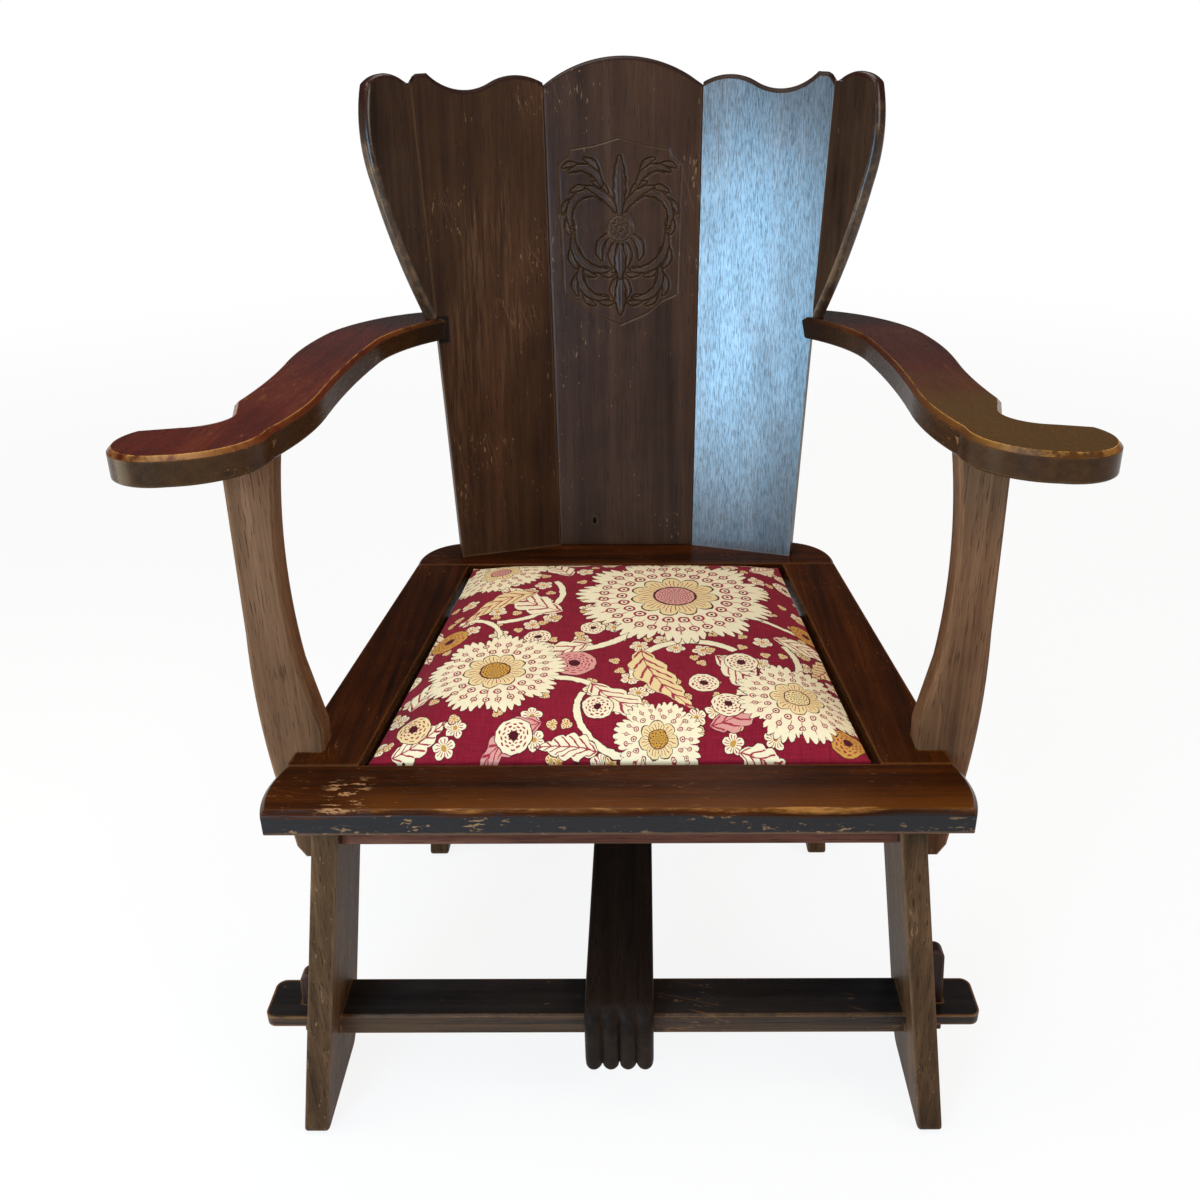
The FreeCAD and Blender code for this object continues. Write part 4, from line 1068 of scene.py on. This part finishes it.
printColours = {
    "ground": "8d1b2f", "shade": "6b1021", "cream": "dfd2b0", "tan": "d8c08c", "pink": "c98c82",
    "ochre": "b98a3c", "ink": "4a131b", "red": "96283b",
}
dyes = {name: tint(colour) for name, colour in printColours.items()}
inkLine = 0.9  # width round a motif, in millimetres


class Print:
    # layers of dye on one cloth, in millimetres across and back
    def __init__(self, shop, place, cloth):
        self.shop = shop
        self.cloth = cloth
        # a hair of the colour below goes into the place, so that the layers come one after another
        self.place = shop.node("ShaderNodeVectorMath", {"operation": "MULTIPLY_ADD"}, {
            0: cloth, 1: (1e-5, 1e-5, 0.0), 2: place,
        })

    def lay(self, mask, dye):
        dye = dye if isinstance(dye, Wire) else dyes[dye]
        self.cloth = self.shop.mix(mask, self.cloth, dye)

    def inside(self, value, edge=0.4):
        return self.shop.step(value, -edge / 2, edge / 2)

    def sine(self, value):
        return self.shop.call("SINE", value)

    def polar(self, centre):
        offset = self.place - centre
        far = self.shop.node("ShaderNodeVectorMath", {"operation": "LENGTH"}, {0: offset}, "Value")
        across, back, _ = self.shop.parts(offset)
        return far, self.shop.call("ARCTAN2", back, across)


def bloom(cloth, centre, size, petals, turn, fringe, heart):
    inside, sine = cloth.inside, cloth.sine
    far, angle = cloth.polar(centre)
    share = far / size
    lobe = abs(sine(angle * petals * 0.5 + turn))
    tooth = abs(sine(angle * fringe))
    edge = lobe ** 0.45 * 0.22 + tooth * 0.11 + 0.67
    cloth.lay(inside((edge - share) * size), "ink")
    cloth.lay(inside((edge - share - 0.02) * size), "cream")
    vein = inside(0.13 - abs(sine(angle * fringe * 0.5)), 0.1)
    cloth.lay(vein * inside(share - edge + 0.30, 0.04) * inside(edge - 0.10 - share, 0.04), "red")
    # two rings of florets, one cell for each
    for ring, count, large in ((0.70, 3.0, 0.050), (0.52, 2.0, 0.058)):
        cell = cloth.shop.call("FRACT", angle * petals * (count / (2 * math.pi)) + 0.5) - 0.5
        wide = cell * (2 * math.pi * ring / count) / petals
        floret = (wide * wide + (share - ring) ** 2.0) ** 0.5
        cloth.lay(inside((large - floret) * size), "red")
        cloth.lay(inside((large * 0.62 - floret) * size), "cream")
        cloth.lay(inside((large * 0.30 - floret) * size), "ink")
    inner = abs(sine(angle * petals * 0.5 + turn + 1.57)) ** 0.6 * 0.12 + 0.32
    cloth.lay(inside((inner - share) * size), "ink")
    cloth.lay(inside((inner - share - 0.02) * size), "tan")
    ray = inside(0.30 - abs(sine(angle * petals * 2.0)), 0.2)
    cloth.lay(ray * inside((inner - share - 0.07) * size) * inside((share - 0.20) * size), "red")
    cloth.lay(inside((0.215 - share) * size), "ink")
    cloth.lay(inside((0.192 - share) * size), heart)
    dot = sine(far * 1.9) * sine(angle * 9.0)
    cloth.lay(inside(dot - 0.45, 0.2) * inside((0.175 - share) * size), "ink")


def leaf(cloth, centre, turn, length, width, bend, dye):
    inside, sine, shop = cloth.inside, cloth.sine, cloth.shop
    place = shop.node("ShaderNodeMapping", {"vector_type": "TEXTURE"}, {
        "Vector": cloth.place, "Location": centre, "Rotation": turn,
    })
    along, aside, _ = shop.parts(place)
    aside = abs(aside - along * along * bend)
    share = shop.smaller(shop.larger(along / length, 0.0), 1.0)
    tooth = abs(sine(share * 16.0))
    half = sine(share ** 0.8 * math.pi) * (tooth * 0.24 + 0.76) * width
    cloth.lay(inside(half - aside), "ink")
    body = inside(half - aside - inkLine)
    cloth.lay(body, dye)
    rib = inside(0.55 - aside)
    side = inside(sine((along - aside * 1.3) * 44.0 / length) - 0.72, 0.3)
    cloth.lay(shop.larger(rib, side * inside(half * 0.78 - aside)) * body, "red")


def stem(cloth, centre, radius, middle, spread, thick):
    inside = cloth.inside
    far, angle = cloth.polar(centre)
    reach = (cloth.shop.call("COSINE", angle - middle) - spread) * radius
    line = thick - abs(far - radius)
    cloth.lay(inside(line + inkLine) * inside(reach), "ink")
    cloth.lay(inside(line) * inside(reach), "cream")


def fruit(cloth, centre, size, dye):
    inside, sine = cloth.inside, cloth.sine
    far, angle = cloth.polar(centre)
    cloth.lay(inside(size - far), "ink")
    cloth.lay(inside(size - far - inkLine), dye)
    scale = sine(far * 1.5) * sine(angle * 7.0)
    cloth.lay(inside(scale - 0.35, 0.2) * inside(size * 0.82 - far), "red")
    cloth.lay(inside(size * 0.26 - far), "ink")


def scatter(cloth, cell, size, petals, shift, dye):
    inside, sine, shop = cloth.inside, cloth.sine, cloth.shop
    place = cloth.place * (1 / cell) + shift
    cells = shop.node("ShaderNodeTexVoronoi", {"voronoi_dimensions": "2D"}, {
        "Vector": place, "Scale": 1.0, "Randomness": 1.0,
    }, "Position")
    offset = place - cells
    across, back, _ = shop.parts(offset)
    far = shop.node("ShaderNodeVectorMath", {"operation": "LENGTH"}, {0: offset}, "Value") * cell
    angle = shop.call("ARCTAN2", back, across) + shop.parts(cells)[0] * 9.0
    reach = (abs(sine(angle * petals * 0.5)) ** 0.5 * 0.45 + 0.55) * size
    cloth.lay(inside(reach - far), "ink")
    cloth.lay(inside(reach - far - inkLine), dye)
    ray = inside(0.45 - abs(sine(angle * petals * 1.5)), 0.2)
    cloth.lay(ray * inside(size * 0.72 - far) * inside(far - size * 0.30), "red")
    cloth.lay(inside(size * 0.24 - far), "ochre")


# what each motif asks for, in the order in which the rows below give it
motifs = {
    scatter: {"cell": "Float", "size": "Float", "petals": "Float", "shift": "Vector", "dye": "Color"},
    stem: {"centre": "Vector", "radius": "Float", "middle": "Float", "spread": "Float",
           "thick": "Float"},
    leaf: {"centre": "Vector", "turn": "Vector", "length": "Float", "width": "Float", "bend": "Float",
           "dye": "Color"},
    fruit: {"centre": "Vector", "size": "Float", "dye": "Color"},
    bloom: {"centre": "Vector", "size": "Float", "petals": "Float", "turn": "Float",
            "fringe": "Float", "heart": "Color"},
}


def motifGroup(draw, sockets):
    group = bpy.data.node_groups.new(draw.__name__ + "Motif", "ShaderNodeTree")
    for name, kind in {"cloth": "Color", "place": "Vector", **sockets}.items():
        group.interface.new_socket(name=name, in_out="INPUT", socket_type="NodeSocket" + kind)
    group.interface.new_socket(name="cloth", in_out="OUTPUT", socket_type="NodeSocketColor")
    shop = Finish("", group)
    start = group.nodes.new("NodeGroupInput")
    wires = [Wire(shop, socket) for socket in start.outputs if socket.name]
    cloth = Print(shop, wires[1], wires[0])
    draw(cloth, *wires[2:])
    shop.node("NodeGroupOutput", {}, {0: cloth.cloth})
    return group


# what lies where on the cloth: x and y first, angles in degrees
blooms = (
    (58, 12, 116, 11, 0.3, 33, "pink"), (-128, -150, 74, 9, 1.1, 27, "ochre"),
    (172, -196, 62, 8, 0.2, 24, "tan"), (-150, 96, 60, 7, 0.8, 21, "pink"),
    (36, -250, 44, 7, 0.5, 21, "ochre"),
)
leaves = (
    (-34, -98, 205, 96, 21, 0.005, "cream"), (-66, -26, 158, 108, 24, -0.004, "cream"),
    (20, -112, 272, 112, 22, 0.004, "tan"), (96, -124, 318, 92, 21, -0.005, "cream"),
    (-30, -176, 300, 92, 20, 0.005, "cream"), (84, -238, 14, 78, 17, 0.006, "pink"),
    (-206, -200, 70, 84, 18, -0.006, "cream"), (-64, 70, 112, 82, 18, 0.005, "cream"),
    (-98, 26, 190, 92, 19, 0.006, "tan"), (160, -80, 350, 78, 17, 0.005, "cream"),
    (-16, 128, 170, 70, 14, -0.005, "cream"), (150, 96, 40, 62, 14, 0.004, "cream"),
    (-206, -20, 250, 78, 17, 0.005, "cream"), (222, -80, 262, 70, 15, -0.004, "tan"),
    (46, 134, 20, 62, 13, 0.006, "cream"), (-74, -232, 196, 72, 17, 0.006, "pink"),
    (110, -262, 350, 64, 15, -0.005, "cream"), (-214, -266, 20, 60, 14, 0.005, "cream"),
    (-20, -262, 160, 58, 14, 0.005, "cream"), (120, 140, 340, 60, 13, 0.005, "tan"),
    (-120, 150, 10, 60, 13, -0.004, "cream"), (-226, 60, 90, 60, 14, 0.004, "cream"),
)
stems = (
    (-60, -30, 84, 285, 66, 4.4), (74, -158, 62, 118, 72, 4.2), (-136, 20, 66, 330, 62, 3.4),
    (120, -130, 62, 330, 66, 3.8), (-70, -236, 70, 62, 52, 3.6), (-20, 60, 84, 118, 42, 2.8),
    (186, 20, 70, 250, 54, 3.0), (-186, -86, 56, 20, 66, 3.0), (10, -214, 52, 215, 60, 3.2),
)
fruits = (
    (-48, -140, 23, "pink"), (122, -136, 18, "cream"), (-188, -66, 21, "ochre"),
    (104, -210, 17, "cream"), (-58, 122, 16, "cream"), (-100, -246, 18, "cream"),
    (202, -40, 18, "ochre"), (82, 146, 15, "pink"), (82, -176, 16, "cream"), (-196, -236, 17, "tan"),
    (-32, -66, 14, "cream"), (192, 78, 15, "cream"), (-22, -214, 16, "cream"),
    (214, -250, 17, "ochre"), (-222, -132, 15, "cream"), (-90, -84, 15, "cream"),
)
scattered = (
    (47.0, 11.5, 5, (0.3, 0.1, 0.0), "cream"), (35.0, 6.5, 3, (0.7, 0.4, 0.0), "tan"),
)


# threads across and back, how the ground is faded, and how far the drawn lines tremble
linen = {
    "warp": (1500.0, 60.0, 60.0), "weft": (60.0, 1500.0, 900.0), "fade": 16, "faded": (0.45, 0.75),
    "tremble": 130.0, "stray": 4.2, "shading": 0.36, "rough": 0.78, "relief": 0.0005,
}


def seatFinish():
    shop = Finish("printedLinen")
    place = shop.node("ShaderNodeTexCoord", {}, {}, "Object")
    warp = shop.noise(place * linen["warp"], 1, 2, 0.6)
    weft = shop.noise(place * linen["weft"], 1, 2, 0.6)
    thread = warp * 0.5 + weft * 0.5
    fade = shop.noise(place, linen["fade"], 3, 0.6)
    bright = shop.step(thread + fade * 0.2, *linen["faded"]) * 0.75
    cloth = shop.mix(bright, dyes["shade"], dyes["ground"])
    tremble = shop.node("ShaderNodeTexNoise", {}, {
        "Vector": place, "Scale": linen["tremble"], "Detail": 2.0,
    }, "Color")
    stray = (linen["stray"], linen["stray"], 0.0)
    drawn = place * (1000.0, 1000.0, 0.0) + (tremble - (0.5, 0.5, 0.5)) * stray
    groups = {draw: motifGroup(draw, sockets) for draw, sockets in motifs.items()}

    def stamp(draw, *values):
        inputs = {"cloth": cloth, "place": drawn, **dict(zip(motifs[draw], values))}
        return shop.node("ShaderNodeGroup", {"node_tree": groups[draw]}, inputs)

    for cell, size, petals, shift, dye in scattered:
        cloth = stamp(scatter, cell, size, petals, shift, dyes[dye])
    for x, y, radius, middle, spread, thick in stems:
        middle = math.radians((middle + 180) % 360 - 180)
        cloth = stamp(stem, (x, y, 0), radius, middle, math.cos(math.radians(spread)), thick)
    for x, y, turn, length, width, bend, dye in leaves:
        cloth = stamp(leaf, (x, y, 0), (0, 0, math.radians(turn)), length, width, bend, dyes[dye])
    for x, y, size, dye in fruits:
        cloth = stamp(fruit, (x, y, 0), size, dyes[dye])
    for x, y, size, petals, turn, fringe, heart in blooms:
        cloth = stamp(bloom, (x, y, 0), size, petals, turn, fringe, dyes[heart])
    value = thread * linen["shading"] + 0.80
    colour = shop.node("ShaderNodeHueSaturation", {}, {"Color": cloth, "Value": value})
    shop.whole(colour, thread * 0.15 + linen["rough"], thread, 0.35, linen["relief"], **{
        "Specular IOR Level": 0.08, "Sheen Weight": 0.03, "Sheen Roughness": 0.5,
    })
    return shop.material


def dressSeat():
    seat = makeSeat()
    seat.data.materials.append(seatFinish())
    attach(seat, "seat")
    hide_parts("seat_pad")


# Studio: white room, soft lamps, pale floor.

lamps = {
    "LampWindow": {
        "place": (-1.00, -1.95, 1.15), "aim": (0.1, 0.2, 0.66), "size": (0.75, 1.1), "power": 38,
        "colour": (0.33, 0.67, 1.0),
    },
    "LampRight": {
        "place": (1.7, -1.5, 2.2), "aim": (0, 0, 0.4), "size": (1.2, 1.2), "power": 32,
        "colour": (1, 0.90, 0.78),
    },
    "LampLow": {
        "place": (-1.7, -0.5, 0.5), "aim": (0, 0, 0.3), "size": (0.9, 0.9), "power": 14,
        "colour": (1, 0.84, 0.60),
    },
    "LampTop": {
        "place": (-0.5, -0.5, 2.8), "aim": (0, 0, 0.5), "size": (1.3, 1.3), "power": 36,
        "colour": (1, 0.91, 0.82),
    },
    "LampBack": {
        "place": (0.2, 1.5, 3.1), "aim": (0, 0, 0.6), "size": (1.4, 1.4), "power": 18,
        "colour": (1, 0.96, 0.92),
    },
}

# reflections see the white cove up to the horizon, and a dark room over it
room = {
    "strength": 0.26, "dark": 0.07, "low": -0.04, "high": 0.08, "floorShade": 0.82, "floorGlow": 0.88,
    "near": 1.0, "far": 4.5,
}


def rayKinds(shop):
    outs = shop.node("ShaderNodeLightPath").socket.node.outputs
    return [Wire(shop, outs[k]) for k in ("Is Camera Ray", "Is Glossy Ray", "Is Transmission Ray")]


def lightWorld():
    scene.world = bpy.data.worlds.new("StudioWorld")
    scene.world.use_nodes = True
    sky = Finish("StudioWorld", scene.world.node_tree)
    camera, glossy, through = rayKinds(sky)
    rise = sky.parts(sky.node("ShaderNodeTexCoord", {}, {}, "Generated"))[2]
    cove = 1 - sky.step(rise, room["low"], room["high"])
    mirrored = sky.larger(glossy, through)
    seen = cove * (1 - room["dark"]) + room["dark"]
    strength = sky.larger(camera, mirrored * seen + (1 - mirrored) * room["strength"])
    light = sky.node("ShaderNodeBackground", {}, {"Color": (1, 1, 1, 1), "Strength": strength})
    sky.node("ShaderNodeOutputWorld", {}, {"Surface": light})


def hangLamps():
    for name, lamp in lamps.items():
        data = bpy.data.lights.new(name, "AREA")
        data.shape = "RECTANGLE"
        data.size, data.size_y = lamp["size"]
        data.energy = lamp["power"]
        data.color = lamp["colour"]
        thing = bpy.data.objects.new(name, data)
        scene.collection.objects.link(thing)
        thing.location = lamp["place"]
        aim = Vector(lamp["aim"]) - Vector(lamp["place"])
        thing.rotation_mode = "QUATERNION"
        thing.rotation_quaternion = aim.to_track_quat("-Z", "Y")


def floorFinish():
    # matt for the object's shadow, and white to the eye and in mirrors as it goes away
    shop = Finish("paleFloor")
    shade = room["floorShade"]
    matt = shop.node("ShaderNodeBsdfDiffuse", {}, {"Color": (shade, shade, shade, 1)})
    glow = shop.node("ShaderNodeEmission", {}, {"Color": (1, 1, 1, 1), "Strength": 1.0})
    place = shop.node("ShaderNodeTexCoord", {}, {}, "Object")
    away = shop.node("ShaderNodeVectorMath", {"operation": "LENGTH"}, {0: place}, "Value")
    fade = shop.step(away, room["near"], room["far"]) * (1 - room["floorGlow"]) + room["floorGlow"]
    camera, glossy, through = rayKinds(shop)
    shown = shop.larger(camera, shop.larger(glossy, through))
    both = shop.node("ShaderNodeMixShader", {}, {0: shown * fade, 1: matt, 2: glow})
    shop.node("ShaderNodeOutputMaterial", {}, {"Surface": both})
    return shop.material


def layFloor():
    mesh = bpy.data.meshes.new("StudioFloor")
    made = bmesh.new()
    bmesh.ops.create_grid(made, x_segments=8, y_segments=8, size=14)
    made.to_mesh(mesh)
    made.free()
    floor = newPiece("StudioFloor", mesh)
    mesh.materials.append(floorFinish())


placeCamera(cameraView)
print("camera placed")
dressBoards()
print("boards dressed")
dressSmallNodes()
print("pegs, nails and seat base dressed")
dressSeat()
print("seat dressed")
scene.view_settings.view_transform = "Standard"
lightWorld()
hangLamps()
layFloor()
print("studio built")
